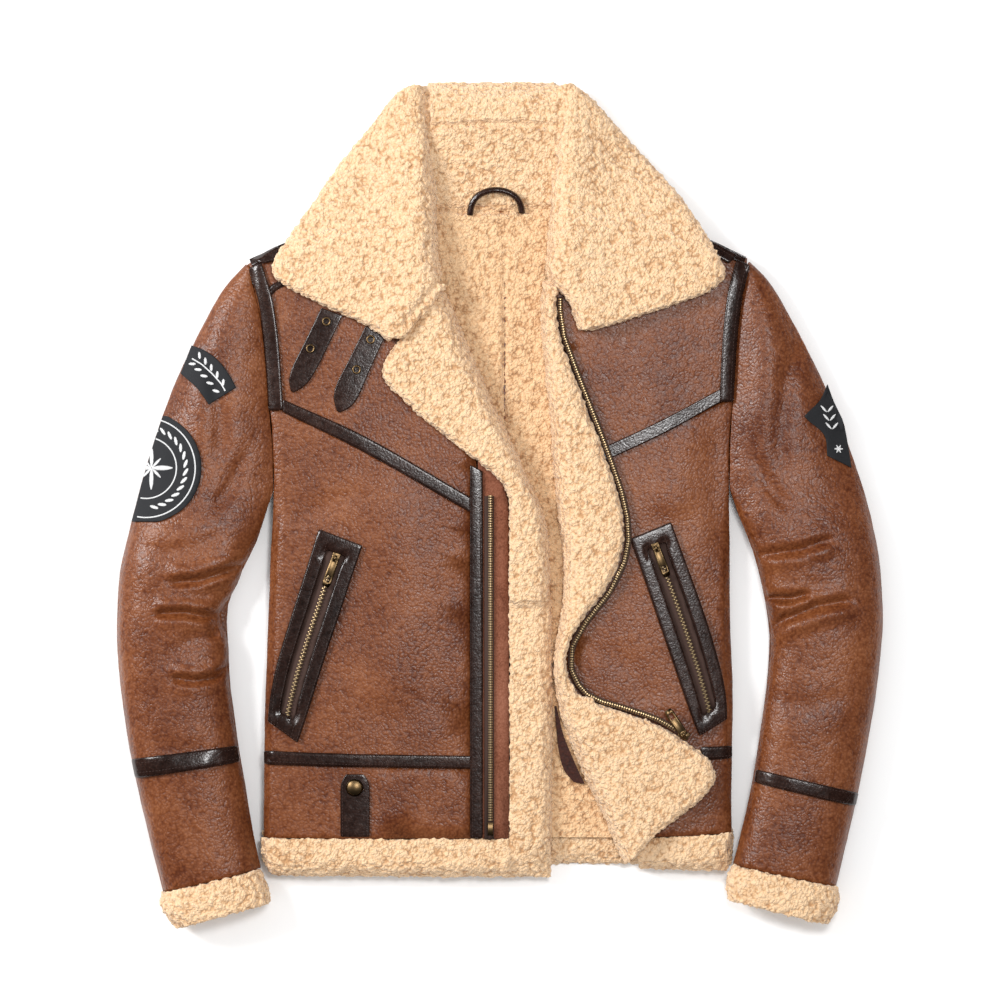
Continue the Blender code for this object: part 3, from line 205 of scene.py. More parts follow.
def leather_material(name, stops, grain_size, grain_depth, rough_low, rough_high, shine=0.5):
    """Grained leather: round pebbles with darker creases between them, fine wrinkles, and broad patches of wear."""
    material, tree, shader = new_material(name, 0.4)
    place = object_place(tree)
    warped = warped_place(tree, place, 7, 5.0)
    broad = noise(tree, place, 60, 2.0)
    fine = noise(tree, place, 6, 3.0, 0.65)
    pebble = math_node(tree, "SUBTRACT", 1.0, cells(tree, warped, grain_size))
    speck = math_node(tree, "MULTIPLY_ADD", broad, 0.45, math_node(tree, "MULTIPLY", fine, 0.3))
    speck = math_node(tree, "MULTIPLY_ADD", pebble, 0.25, speck)
    tree.links.new(ramp(tree, speck, stops), shader.inputs["Base Color"])
    rough = add_node(tree, "ShaderNodeMapRange", None, Value=fine, i1=0.3, i2=0.7, i3=rough_low, i4=rough_high)
    tree.links.new(rough.outputs[0], shader.inputs["Roughness"])
    shader.inputs["Specular IOR Level"].default_value = shine
    first = bump(tree, fine, 0.8, grain_depth * 1.5)
    tree.links.new(bump(tree, pebble, 0.9, grain_depth, first), shader.inputs["Normal"])
    return material


def wool_material(name, stops):
    """Curly shearling: painted shade, lighter on the curl and nub tops and darker and warmer between them, a random
    broad tone, and a soft sheen.
    """
    material, tree, shader = new_material(name, 0.95)
    place = object_place(tree)
    curl = add_node(tree, "ShaderNodeAttribute", {"attribute_name": "curl"}).outputs["Fac"]
    warped = warped_place(tree, place, 5, 4.0)
    nub = math_node(tree, "SUBTRACT", 1.0, cells(tree, warped, 3.0))
    broad = noise(tree, place, 40, 1.0)
    # Painted shade: the stored curl heights and the nubs set the colour, darker in the hollows between the curls
    tone_and_painted_shade = math_node(tree, "MULTIPLY", curl, 0.7)
    tone_and_painted_shade = math_node(tree, "MULTIPLY_ADD", math_node(tree, "SUBTRACT", nub, 0.25), 0.55, tone_and_painted_shade)
    tone_and_painted_shade = math_node(tree, "MULTIPLY_ADD", math_node(tree, "SUBTRACT", broad, 0.5), 0.3, tone_and_painted_shade)
    tree.links.new(ramp(tree, tone_and_painted_shade, stops), shader.inputs["Base Color"])
    shader.inputs["Sheen Weight"].default_value = 0.25
    shader.inputs["Sheen Roughness"].default_value = 0.6
    shader.inputs["Specular IOR Level"].default_value = 0.1
    tree.links.new(bump(tree, nub, 1.0, 2.2), shader.inputs["Normal"])
    return material


def plain_material(name, code, roughness, metallic=0.0, grain=0.0, size=2.0):
    """One colour, with a fine uneven surface if grain is given."""
    material, tree, shader = new_material(name, roughness, metallic)
    shader.inputs["Base Color"].default_value = colour(code)
    if grain:
        tree.links.new(bump(tree, noise(tree, object_place(tree), size, 3.0), 0.7, grain), shader.inputs["Normal"])
    return material


# Grain side of brown sheepskin, waxed: round pebbles 2.8 mm wide, drawn a little coarse, with a soft broken shine
LEATHER = leather_material("grained_leather", [(0.34, "#4d220d"), (0.52, "#6c3a1c"), (0.72, "#85502e")],
                           2.8, 0.42, 0.3, 0.44, 0.38)
# Dark smooth leather of bindings, straps and welts, polished, so that it has narrow bright lights
BINDING = leather_material("waxed_binding", [(0.30, "#140a07"), (0.52, "#24140f"), (0.75, "#3a251d")],
                           2.2, 0.1, 0.2, 0.3, 0.5)
# Suede of the strip under the zip: a brushed flesh side, without shine
SUEDE = leather_material("suede_strip", [(0.30, "#552a18"), (0.50, "#774733"), (0.72, "#8d5c48")],
                         1.8, 0.3, 0.75, 0.9, 0.2)
# Reddish leather of the inner pocket, nearly dull
POCKET_LEATHER = leather_material("pocket_leather", [(0.30, "#200d08"), (0.50, "#38180f"), (0.75, "#4d271b")],
                                  2.4, 0.2, 0.45, 0.6, 0.2)
# Cream shearling, combed and curled, with painted shade at the low end of each ramp that darkens the hollows between
# curls, and a slightly darker, warmer copy of it for the wool inside the back
WOOL = wool_material("cream_wool", [(0.0, "#b3875e"), (0.22, "#d6b087"), (0.38, "#dfbc95"), (1.0, "#e4c39e")])
INNER_WOOL = wool_material("inner_wool", [(0.0, "#a97c54"), (0.22, "#d0a77d"), (0.38, "#dbb58b"), (1.0, "#e2be96")])
# Cast brass, dark with age, of sliders, tabs, eyelets and stud
BRASS = plain_material("old_brass", "#7d6648", 0.38, 1.0, 0.05, 1.2)
# Stamped zip teeth, rubbed lighter than the sliders
TEETH = plain_material("zip_teeth", "#b59c76", 0.34, 0.85, 0.03, 1.2)
# Woven cotton zip tape, dull and brown
ZIP_CLOTH = plain_material("zip_tape", "#3d2820", 0.85, 0.0, 0.15, 0.8)
# Black cotton twill of the sleeve patches, with the white thread that is sewn on it
TWILL = plain_material("black_twill", "#17181c", 0.8, 0.0, 0.2, 1.0)
WHITE_THREAD = plain_material("white_thread", "#e4e4e4", 0.75)
# Brown waxed sewing thread
THREAD = plain_material("sewing_thread", "#3a2620", 0.7)
# Matt white paper floor
FLOOR = plain_material("white_floor", "#fbfbfb", 0.9)

made = {}


def show(name, mesh, material, body="jacket", stands_for=()):
    """Put a mesh in the scene as a piece that moves with one of the jacket's bodies."""
    piece = bpy.data.objects.new(name, mesh)
    bpy.context.scene.collection.objects.link(piece)
    mesh.materials.clear()
    mesh.materials.append(material)
    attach(piece, body)
    if stands_for:
        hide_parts(*stands_for)
    made[name] = piece
    return piece


def evaluated(piece):
    """The mesh of a piece with its modifiers applied."""
    bpy.context.view_layer.update()
    graph = bpy.context.evaluated_depsgraph_get()
    return bpy.data.meshes.new_from_object(piece.evaluated_get(graph))


def finer(node, levels, crease_angle=38.0, rounding=0.0):
    """A smooth copy of a solid: its sharp edges stay, or are rounded a little, and its faces are divided."""
    bm = bmesh.new()
    bm.from_mesh(NODES[node].data)
    bmesh.ops.remove_doubles(bm, verts=bm.verts, dist=TINY * 2)
    creased = bm.edges.layers.float.get("crease_edge") or bm.edges.layers.float.new("crease_edge")
    sharp = [edge for edge in bm.edges if edge.is_manifold and edge.calc_face_angle(0.0) > math.radians(crease_angle)]
    if rounding:
        bmesh.ops.bevel(bm, geom=sharp, offset=rounding * MM, segments=2, affect="EDGES", clamp_overlap=True)
    else:
        for edge in sharp:
            edge[creased] = 1.0
    mesh = bpy.data.meshes.new(node + "_fine")
    bm.to_mesh(mesh)
    bm.free()
    if levels:
        holder = bpy.data.objects.new("holder", mesh)
        bpy.context.scene.collection.objects.link(holder)
        divide = holder.modifiers.new("divide", "SUBSURF")
        divide.levels = levels
        divide.render_levels = levels
        mesh = evaluated(holder)
        bpy.data.objects.remove(holder)
    mesh.shade_smooth()
    mesh.set_sharp_from_angle(angle=math.radians(50))
    return mesh


def points_of(mesh):
    flat = np.empty(len(mesh.vertices) * 3)
    mesh.vertices.foreach_get("co", flat)
    return flat.reshape(-1, 3)


def normals_of(mesh):
    flat = np.empty(len(mesh.vertices) * 3)
    mesh.vertices.foreach_get("normal", flat)
    return flat.reshape(-1, 3)


def put_points(mesh, points):
    mesh.vertices.foreach_set("co", points.ravel())
    mesh.update()


def table_places(points):
    return points[:, 0] / MM + TABLE_CENTRE[0], TABLE_CENTRE[1] - points[:, 1] / MM


def fold_heights(x, down, folds):
    """How far each place is lowered by the folds, in millimetres: valleys with ridges on their lower sides."""
    drop = np.zeros(len(x))
    for fold in folds:
        line = np.array(fold.points, float)
        steps = np.diff(line, axis=0)
        lengths = np.hypot(*steps.T)
        best = np.full(len(x), 1e9)
        aside = np.zeros(len(x))
        share = np.zeros(len(x))
        done = 0.0
        for start, step, length in zip(line[:-1], steps, lengths):
            dx, dd = x - start[0], down - start[1]
            t = np.clip((dx * step[0] + dd * step[1]) / length ** 2, 0, 1)
            gap = np.hypot(dx - t * step[0], dd - t * step[1])
            nearer = gap < best
            best[nearer] = gap[nearer]
            cross = (step[0] * dd - step[1] * dx) / length
            aside[nearer] = (np.sign(cross) * gap)[nearer]
            share[nearer] = ((done + t * length) / lengths.sum())[nearer]
            done += length
        fade = np.clip(np.minimum(share + 0.12, (1 - share) * 1.6 + 0.02) * 3.0, 0, 1)
        fade = fade * fade * (3 - 2 * fade)
        valley = np.exp(-(best / fold.width) ** 2)
        for side in (-1, 1):
            ridge = np.exp(-((aside - side * 2.1 * fold.width) / (1.5 * fold.width)) ** 2)
            drop -= fold.ridge * (0.5 if side < 0 else 1.0) * fold.depth * ridge * fade
        drop += fold.depth * valley * fade
    return drop


def rim_distance(mesh, points):
    """How far each vertex is from the nearest upper rim of its panel."""
    edges = np.empty(len(mesh.edges) * 2, int)
    mesh.edges.foreach_get("vertices", edges)
    edges = edges.reshape(-1, 2)
    sharp = mesh.attributes.get("sharp_edge")
    marks = np.zeros(len(mesh.edges), bool)
    if sharp:
        sharp.data.foreach_get("value", marks)
    rim = np.unique(edges[marks])
    floor_level = points[:, 2].min()
    rim = rim[points[rim, 2] > floor_level + 4 * MM]
    tree = kdtree.KDTree(len(rim))
    for i, vert in enumerate(rim):
        tree.insert(points[vert], i)
    tree.balance()
    return np.array([tree.find(point)[2] if len(rim) else 1.0 for point in points]) / MM


def leather_panel(node, levels, folds=()):
    """A leather panel: smooth, drawn in along its seams and folded."""
    mesh = finer(node, levels)
    points = points_of(mesh)
    facing = normals_of(mesh)[:, 2]
    upper = np.clip(facing * 1.5, 0, 1)
    drawn = SEAM_PINCH * np.exp(-(rim_distance(mesh, points) / SEAM_PINCH_WIDTH) ** 2)
    x, down = table_places(points)
    points[:, 2] -= upper * (drawn + fold_heights(x, down, folds)) * MM
    if node in SLEEVE_TIPS:
        tip_x, tip_down, shift_x, shift_down = SLEEVE_TIPS[node]
        near = np.exp(-((x - tip_x) ** 2 + (down - tip_down) ** 2) / SLEEVE_TIP_REACH ** 2)
        points[:, 0] += near * shift_x * MM
        points[:, 1] -= near * shift_down * MM
    put_points(mesh, points)
    piece = show(node + "_leather", mesh, LEATHER, stands_for=[node])
    soften = piece.modifiers.new("wrinkles", "NODES")
    soften.node_group = WRINKLES


def domed(mesh, rise, run):
    """A binding's back, raised in a soft roll between its two edges."""
    points = points_of(mesh)
    facing = normals_of(mesh)
    upper = np.clip(facing[:, 2] * 2 - 0.4, 0, 1)
    raised = rise * (1 - np.exp(-(rim_distance(mesh, points) / run) ** 2))
    put_points(mesh, points + facing * (upper * raised * MM)[:, None])
    return mesh


def folded(mesh, node):
    """Move what lies on a sleeve with the sleeve's folds."""
    points = points_of(mesh)
    points[:, 2] -= fold_heights(*table_places(points), RIGHT_FOLDS if node.startswith("right") else LEFT_FOLDS) * MM
    put_points(mesh, points)
    return mesh


def group_with_geometry(name):
    tree = bpy.data.node_groups.new(name, "GeometryNodeTree")
    tree.interface.new_socket("Geometry", in_out="INPUT", socket_type="NodeSocketGeometry")
    tree.interface.new_socket("Geometry", in_out="OUTPUT", socket_type="NodeSocketGeometry")
    return tree, tree.nodes.new("NodeGroupInput"), tree.nodes.new("NodeGroupOutput")


def along_normal(tree, length):
    normal = add_node(tree, "GeometryNodeInputNormal").outputs[0]
    return add_node(tree, "ShaderNodeVectorMath", {"operation": "SCALE"}, i0=normal, Scale=length).outputs[0]


def wrinkles_group():
    """Slow waves and small wrinkles on leather, outward along its normals."""
    tree, start, end = group_with_geometry("wrinkles")
    place = add_node(tree, "GeometryNodeInputPosition").outputs[0]
    broad = math_node(tree, "SUBTRACT", noise(tree, place, 42, 2.0), 0.5)
    small = math_node(tree, "SUBTRACT", noise(tree, place, 13, 2.0, 0.6), 0.5)
    broad = math_node(tree, "MULTIPLY", broad, BROAD_WRINKLE * MM)
    height = math_node(tree, "ADD", broad, math_node(tree, "MULTIPLY", small, SMALL_WRINKLE * MM))
    moved = add_node(tree, "GeometryNodeSetPosition", None, Geometry=start.outputs[0],
                     Offset=along_normal(tree, height))
    tree.links.new(on_surface(tree, moved.outputs[0]), end.inputs[0])
    return tree


def on_surface(tree, geometry):
    """Nothing reaches below the surface that the jacket lies on."""
    place = add_node(tree, "GeometryNodeInputPosition").outputs[0]
    apart = add_node(tree, "ShaderNodeSeparateXYZ", None, Vector=place)
    height = math_node(tree, "MAXIMUM", apart.outputs["Z"], SURFACE)
    together = add_node(tree, "ShaderNodeCombineXYZ", None, X=apart.outputs["X"], Y=apart.outputs["Y"], Z=height)
    return add_node(tree, "GeometryNodeSetPosition", None, Geometry=geometry, Position=together.outputs[0]).outputs[0]


def curls_group():
    """Wool: clumps of round curls with smaller tufts on them, and each point's height stored as painted shade for its
    colour, darker in the hollows.
    """
    tree, start, end = group_with_geometry("curls")
    place = add_node(tree, "GeometryNodeInputPosition").outputs[0]
    warped = warped_place(tree, place, 11, 8.0)
    curl = math_node(tree, "SUBTRACT", 1.0, cells(tree, warped, CURL_SIZE, 0.25))
    tuft = math_node(tree, "SUBTRACT", 1.0, cells(tree, warped, TUFT_SIZE))
    clump = noise(tree, place, CLUMP_SIZE, 2.0)
    low = math_node(tree, "MULTIPLY", math_node(tree, "SUBTRACT", curl, 0.62), CURL_HEIGHT * MM * 2)
    mid = math_node(tree, "MULTIPLY", math_node(tree, "SUBTRACT", tuft, 0.55), TUFT_HEIGHT * MM * 2)
    wide = math_node(tree, "MULTIPLY", math_node(tree, "SUBTRACT", clump, 0.5), CLUMP_HEIGHT * MM * 2)
    height = math_node(tree, "ADD", math_node(tree, "ADD", low, mid), wide)
    # Painted shade: lighter on the curl and tuft tops, darker in the hollows between them
    shade = math_node(tree, "ADD", math_node(tree, "MULTIPLY", curl, 0.7), math_node(tree, "MULTIPLY", tuft, 0.3))
    shade = add_node(tree, "ShaderNodeMapRange", None, Value=shade, i1=0.35, i2=0.92, i3=0.0, i4=1.0).outputs[0]
    stored = add_node(tree, "GeometryNodeStoreNamedAttribute", {"data_type": "FLOAT", "domain": "POINT"},
                      Geometry=start.outputs[0], Name="curl", Value=shade)
    moved = add_node(tree, "GeometryNodeSetPosition", None, Geometry=stored.outputs[0],
                     Offset=along_normal(tree, height))
    tree.links.new(on_surface(tree, moved.outputs[0]), end.inputs[0])
    return tree


WRINKLES = wrinkles_group()
CURLS = curls_group()


def fill_gap(bm, start, end, radius):
    """A soft roll of wool along a line, level with the wool on both sides of it."""
    tree = BVHTree.FromBMesh(bm)
    along = (Vector(end) - Vector(start)).normalized()
    steps = max(int((Vector(end) - Vector(start)).length / (radius * 0.5)), 2)
    for i in range(steps + 1):
        x, down = Vector(start).lerp(Vector(end), i / steps)
        beside = []
        for side in (-1, 1):
            reach = side * (radius + 2.5)
            hit = tree.ray_cast(at(x - along.y * reach, down + along.x * reach, 400), Vector((0, 0, -1)))[0]
            if hit is not None:
                beside.append(hit.z)
        if beside:
            centre = at(x, down)
            centre.z = sum(beside) / len(beside) - radius * 0.9 * MM
            bmesh.ops.create_icosphere(bm, subdivisions=2, radius=radius * MM, matrix=Matrix.Translation(centre))


def wool_piece(name, nodes, seams=(), gaps=()):
    """Wool edges that grow together: their solids made soft, joined in one fine even mesh and curled."""
    bm = bmesh.new()
    for node in nodes:
        mesh = finer(node, 2, 60.0)
        put_points(mesh, points_of(mesh) + normals_of(mesh) * WOOL_GROWTH * MM)
        bm.from_mesh(mesh)
    for start, end, radius in gaps:
        fill_gap(bm, start, end, radius)
    joined = bpy.data.meshes.new(name)
    bm.to_mesh(joined)
    bm.free()
    holder = bpy.data.objects.new("holder", joined)
    bpy.context.scene.collection.objects.link(holder)
    even = holder.modifiers.new("even", "REMESH")
    even.mode = "VOXEL"
    even.voxel_size = WOOL_VOXEL * MM
    even.use_smooth_shade = True
    mesh = evaluated(holder)
    bpy.data.objects.remove(holder)
    points = points_of(mesh)
    x, down = table_places(points)
    upper = np.clip(normals_of(mesh)[:, 2] * 1.5, 0, 1)
    points[:, 2] -= upper * fold_heights(x, down, seams) * MM
    put_points(mesh, points)
    piece = show(name, mesh, WOOL, stands_for=nodes)
    curled = piece.modifiers.new("curls", "NODES")
    curled.node_group = CURLS


def wool_field(name, corners, height, spacing, material, seams=()):
    """Wool that shows in an opening: a fine flat field with its curls standing up."""
    (x0, down0), (x1, down1) = corners
    columns = int((x1 - x0) / spacing)
    rows = int((down1 - down0) / spacing)
    bm = bmesh.new()
    bmesh.ops.create_grid(bm, x_segments=columns, y_segments=rows, size=0.5)
    for vert in bm.verts:
        vert.co = at(x0 + (vert.co.x + 0.5) * (x1 - x0), down1 - (vert.co.y + 0.5) * (down1 - down0), height)
    mesh = bpy.data.meshes.new(name)
    bm.to_mesh(mesh)
    bm.free()
    mesh.shade_smooth()
    points = points_of(mesh)
    points[:, 2] -= fold_heights(*table_places(points), seams) * MM
    put_points(mesh, points)
    piece = show(name, mesh, material)
    curled = piece.modifiers.new("curls", "NODES")
    curled.node_group = CURLS


for node, levels, folds in (
        ("right_yoke", 2, ()), ("right_front", 2, FRONT_FOLDS), ("right_band", 2, ()), ("left_yoke", 2, ()),
        ("left_front", 2, FRONT_FOLDS), ("left_band", 2, ()), ("right_top_sleeve", 3, RIGHT_FOLDS),
        ("left_top_sleeve", 3, LEFT_FOLDS), ("right_under_sleeve", 1, ()), ("left_under_sleeve", 1, ()),
        ("back", 1, ())):
    leather_panel(node, levels, folds)

wool_piece("collar_wool", ("right_collar_leaf", "left_collar_leaf", "collar_stand"),
           seams=[Fold(4.4, 2.8, 0.3, [(420, 127), (495, 123.5), (570, 127)])],
           gaps=[((401, 336), (442, 288), 5.0), ((556.5, 90), (555, 126), 4.5)])
wool_piece("right_front_wool", ("right_lapel", "right_edge_wool", "right_hem_wool"),
           gaps=[((516, 601), (543, 601), 5.5), ((518, 836), (545, 840), 5.0)])
wool_piece("left_front_wool", ("left_facing", "left_flap"),
           gaps=[((545, 281), (555, 292), 5.0), ((566, 700), (590, 700), 5.0)])
for node in ("back_hem_wool", "left_hem_wool", "right_cuff_wool", "left_cuff_wool"):
    wool_piece(node + "_curls", (node,))
wool_field("back_inner_wool", INNER_WOOL_CORNERS, INNER_WOOL_HEIGHT, INNER_WOOL_SPACING, INNER_WOOL,
           [Fold(3.8, 2.6, 0.3, [(505, 216), (504, 500), (506, 900)]),
            Fold(4.4, 2.8, 0.3, [(400, 209), (500, 211), (620, 209)])])

show("right_placket_suede", finer("right_placket", 2), SUEDE, stands_for=["right_placket"])
for node in ("right_yoke_tape", "left_yoke_tape", "right_waist_tape", "left_waist_tape", "right_placket_tape",
             "right_armhole_tape", "left_armhole_tape", "right_shoulder_tape", "left_shoulder_tape",
             "right_wrist_tape", "left_wrist_tape", "throat_strap_1", "throat_strap_2", "hem_tab",
             "right_pocket_welt", "left_pocket_welt", "hanger_loop"):
    mesh = finer(node, 2, 38.0, 0.0 if node == "hanger_loop" else FOLDED_EDGE)
    if node.endswith(("tape", "welt")):
        domed(mesh, BINDING_RISE, BINDING_SLOPE)
    if "wrist" in node:
        folded(mesh, node)
    show(node + "_leather", mesh, BINDING, stands_for=[node])
pocket_mesh = finer("inner_pocket", 2, 38.0, FOLDED_EDGE)
put_points(pocket_mesh, points_of(pocket_mesh) + np.array([0, 0, POCKET_RISE * MM]))
show("inner_pocket_leather", pocket_mesh, POCKET_LEATHER, stands_for=["inner_pocket"])
for node in ("strap_1_eyelet_top", "strap_1_eyelet_low", "strap_2_eyelet_top", "strap_2_eyelet_low"):
    show(node + "_ring", finer(node, 2, 180.0), BRASS, stands_for=[node])
for node in ("hem_tab_snap", "right_pocket_slider", "left_pocket_slider", "main_slider"):
    show(node + "_brass", finer(node, 0, 30.0, BRASS_EDGE), BRASS, stands_for=[node])
for side in ("right_pocket", "left_pocket", "main"):
    node = side + "_pull"
    show(node + "_brass", finer(node, 0, 30.0, BRASS_EDGE), BRASS, side + "_tab", [node])
for node in ("right_zip", "left_zip", "right_pocket_zip", "left_pocket_zip"):
    show(node + "_tape", finer(node, 1, 30.0), ZIP_CLOTH, stands_for=[node])
for node in ("right_sleeve_arc_patch", "right_sleeve_round_patch", "left_sleeve_patch"):
    show(node + "_twill", folded(finer(node, 2, 38.0), node), TWILL, stands_for=[node])


# Two lines of stitches run along each binding, its half width less this far from its middle line
STITCH_INSET = 1.7
STITCH = (2.2, 0.55, 0.35)
STITCH_PITCH = 3.3
STITCH_LIFT = 0.05
Line = namedtuple("Line", "on half points")
BINDING_LINES = [
    Line("right_yoke_tape", 5.6, [(286, 406.3), (365, 444.5), (468, 503.5)]),
    Line("left_yoke_tape", 5.2, [(718, 396), (662, 427), (598, 457.5)]),
    Line("right_waist_tape", 5.6, [(268, 757), (340, 759.5), (468, 761.5)]),
    Line("left_waist_tape", 5.4, [(729, 751.5), (715, 752.5), (703, 752.5)]),
    Line("right_placket_tape", 5.4, [(476.5, 472), (476.5, 600), (476.5, 835)]),
    Line("right_armhole_tape", 6.0, [(256.8, 269), (260.2, 280), (266.1, 299.5), (270.6, 329.5), (273.1, 354.8),
                                     (275, 380), (276.7, 408)]),
    Line("left_armhole_tape", 5.9, [(741.6, 265.8), (738, 279.5), (733.5, 299.5), (730.5, 324.5), (728.4, 350),
                                    (727, 375), (726.1, 399)]),
    Line("right_shoulder_tape", 4.6, [(279, 252.4), (270.7, 256.9), (259, 262.2)]),
    Line("left_shoulder_tape", 4.6, [(709, 246), (720, 253), (730.7, 259)]),
    Line("right_wrist_tape", 6.4, [(138, 767), (159, 764.5), (186, 760.4), (213, 756.2), (237, 753.2)]),
    Line("left_wrist_tape", 6.4, [(758, 776.3), (779, 780.2), (806, 786.7), (832, 793.4), (853, 797.8)]),
    Line("throat_strap_1", 10.2, [(331, 316), (317, 345.5), (299, 379)]),
    Line("throat_strap_2", 10.6, [(374.5, 334), (360.5, 364), (344, 398)]),
    Line("hem_tab", 14.2, [(355.3, 782), (355.5, 800), (355.5, 834)]),
]
# The pocket welts' outer edges, as rows of the left and the right edge
RIGHT_WELT = [(320, 530, 362, 546), (309, 566, 350, 581), (299, 597, 340, 612), (288, 632, 328, 647),
              (279, 662, 318, 679), (273, 692, 309, 708), (271, 721, 298, 741)]
LEFT_WELT = [(631, 539, 670, 523), (643, 574, 683, 559), (655, 609, 696, 594), (667, 644, 707, 627),
             (679, 679, 717, 661), (690, 711, 724, 693), (699, 734, 725, 718)]
# Where nothing lies below a strip, it stays at this height
FRONT_HEIGHT = 20.0
# The open zip's two rows of teeth, along their middles
RIGHT_TEETH = [(490.4, 476), (490.4, 819)]
LEFT_TEETH = [(559.8, 297.5), (560, 311.5), (564, 337.2), (574, 364.8), (587, 398.8), (598, 426.8), (610, 459),
              (621, 491), (627.1, 517.5), (628.2, 540.5), (624.2, 561.8), (609.5, 591.9), (586.5, 620.9),
              (572, 646.7), (571.4, 669.4), (578.5, 684.2), (587, 693.9), (601.4, 700.9), (621.3, 706.4),
              (641.6, 713), (657, 718.5), (674.5, 728.2)]
PIN_BOX = (490.4, 828.0)


def surface_tree(*names):
    """The finished faces of pieces, to lay small things on."""
    verts, faces = [], []
    for name in names:
        mesh = evaluated(made[name]) if made[name].modifiers else made[name].data
        start = len(verts)
        verts.extend(tuple(vert.co) for vert in mesh.vertices)
        faces.extend(tuple(start + i for i in face.vertices) for face in mesh.polygons)
    return BVHTree.FromPolygons(verts, faces)


def top_of(tree, x, down):
    """The highest point under a place, and which way its face looks."""
    hit, facing, _, _ = tree.ray_cast(at(x, down, 400), Vector((0, 0, -1)))
    return hit, facing


def even_steps(points, pitch):
    """Places and headings at an even pitch along a line."""
    line = np.array(points, float)
    lengths = np.hypot(*np.diff(line, axis=0).T)
    gone = np.concatenate([[0], np.cumsum(lengths)])
    spots = np.linspace(0, gone[-1], max(int(round(gone[-1] / pitch)), 1) + 1)
    x = np.interp(spots, gone, line[:, 0])
    down = np.interp(spots, gone, line[:, 1])
    heading = np.arctan2(np.gradient(down), np.gradient(x))
    return x, down, heading


def beside(points, offset):
    """The same line moved sideways."""
    line = np.array(points, float)
    along = np.gradient(line, axis=0)
    along /= np.hypot(*along.T)[:, None]
    return line + offset * np.column_stack([-along[:, 1], along[:, 0]])


def capsule(long, wide, high):
    """A stitch: a small round-backed bar."""
    rings = [(-0.5, 0.35), (-0.3, 1.0), (0.3, 1.0), (0.5, 0.35)]
    turns = [math.pi * k / 3 for k in range(6)]
    verts = [(a * long, r * wide / 2 * math.cos(t), r * high * math.sin(t)) for a, r in rings for t in turns]
    faces = [(6 * i + k, 6 * i + (k + 1) % 6, 6 * i + 6 + (k + 1) % 6, 6 * i + 6 + k)
             for i in range(3) for k in range(6)]
    return np.array(verts), faces + [(5, 4, 3, 2, 1, 0), (18, 19, 20, 21, 22, 23)]


def brick(long, wide, high):
    """A zip tooth: a block with its upper edges sloped in."""
    verts = [(x * long / 2, y * wide / 2, z) for z in (-high * 0.3, high * 0.35) for y in (-1, 1) for x in (-1, 1)]
    verts += [(x * long * 0.3, y * wide * 0.42, high) for y in (-1, 1) for x in (-1, 1)]
    faces = [(2, 3, 1, 0), (0, 1, 5, 4), (1, 3, 7, 5), (3, 2, 6, 7), (2, 0, 4, 6), (4, 5, 9, 8),
             (5, 7, 11, 9), (7, 6, 10, 11), (6, 4, 8, 10), (8, 9, 11, 10)]
    return np.array(verts), faces


def scattered(name, shape, places, material, tree, lift):
    """One mesh of many small copies of a shape, each laid on a surface: places are rows of x, down and heading."""
    verts, faces = shape
    all_verts, all_faces = [], []
    for x, down, heading in places:
        hit, facing = top_of(tree, x, down)
        if hit is None:
            continue
        along = Vector((math.cos(heading), -math.sin(heading), 0))
        along = (along - facing * along.dot(facing)).normalized()
        across = facing.cross(along)
        start = len(all_verts)
        base = hit + facing * lift * MM
        all_verts += [base + (along * a + across * b + facing * c) * MM for a, b, c in verts]
        all_faces += [tuple(start + i for i in face) for face in faces]
    mesh = bpy.data.meshes.new(name)
    mesh.from_pydata(all_verts, [], all_faces)
    mesh.shade_smooth()
    mesh.set_sharp_from_angle(angle=math.radians(50))
    show(name, mesh, material)


def stitch_rows(name, lines):
    """Two rows of stitches along each binding, one inside each edge."""
    places = []
    tree = surface_tree(*(line.on + "_leather" for line in lines))
    for line in lines:
        for side in (-1, 1):
            row = beside(line.points, side * (line.half - STITCH_INSET))
            places += list(zip(*even_steps(row, STITCH_PITCH)))
    scattered(name, capsule(*STITCH), places, THREAD, tree, STITCH_LIFT)


def strip(name, points, half, thick, material, tree):
    """A narrow binding laid along a line: rounded across, with its edges turned down."""
    shape = [(-1.0, 0.0), (-0.96, 0.5), (-0.8, 0.85), (-0.4, 1.1), (0.0, 1.2), (0.4, 1.1), (0.8, 0.85),
             (0.96, 0.5), (1.0, 0.0)]
    x, down, heading = even_steps(points, 2.0)
    bm = bmesh.new()
    rows = []
    for px, pd, angle in zip(x, down, heading):
        row = []
        for aside, rise in shape:
            qx, qd = px - aside * half * math.sin(angle), pd + aside * half * math.cos(angle)
            hit, _ = top_of(tree, qx, qd)
            hit = hit if hit is not None else at(qx, qd, FRONT_HEIGHT)
            row.append(bm.verts.new(hit + Vector((0, 0, rise * thick * MM))))
        rows.append(row)
    for first, second in zip(rows[:-1], rows[1:]):
        for k in range(len(shape) - 1):
            bm.faces.new((first[k], first[k + 1], second[k + 1], second[k]))
    mesh = bpy.data.meshes.new(name)
    bmesh.ops.recalc_face_normals(bm, faces=bm.faces)
    bm.to_mesh(mesh)
    bm.free()
    mesh.shade_smooth()
    show(name, mesh, material)


def welt_lines(node, rows):
    """Stitches round a pocket welt: just inside its outer edge and just outside its opening."""
    left = [row[:2] for row in rows]
    right = [row[2:] for row in rows]
    wide = math.dist(left[0], right[0])
    lines = []
    for share in (STITCH_INSET / wide, 0.27 - 1.4 / wide, 0.73 + 1.4 / wide, 1 - STITCH_INSET / wide):
        lines.append([(a[0] + (b[0] - a[0]) * share, a[1] + (b[1] - a[1]) * share) for a, b in zip(left, right)])
    for a, b in ((lines[0][0], lines[3][0]), (lines[0][-1], lines[3][-1])):
        lines.append([a, b])
    places = [place for line in lines for place in zip(*even_steps(line, STITCH_PITCH))]
    scattered(node + "_stitches", capsule(*STITCH), places, THREAD, surface_tree(node + "_leather"), STITCH_LIFT)
    return [((a[0] + b[0]) / 2, (a[1] + b[1]) / 2) for a, b in zip(left, right)]


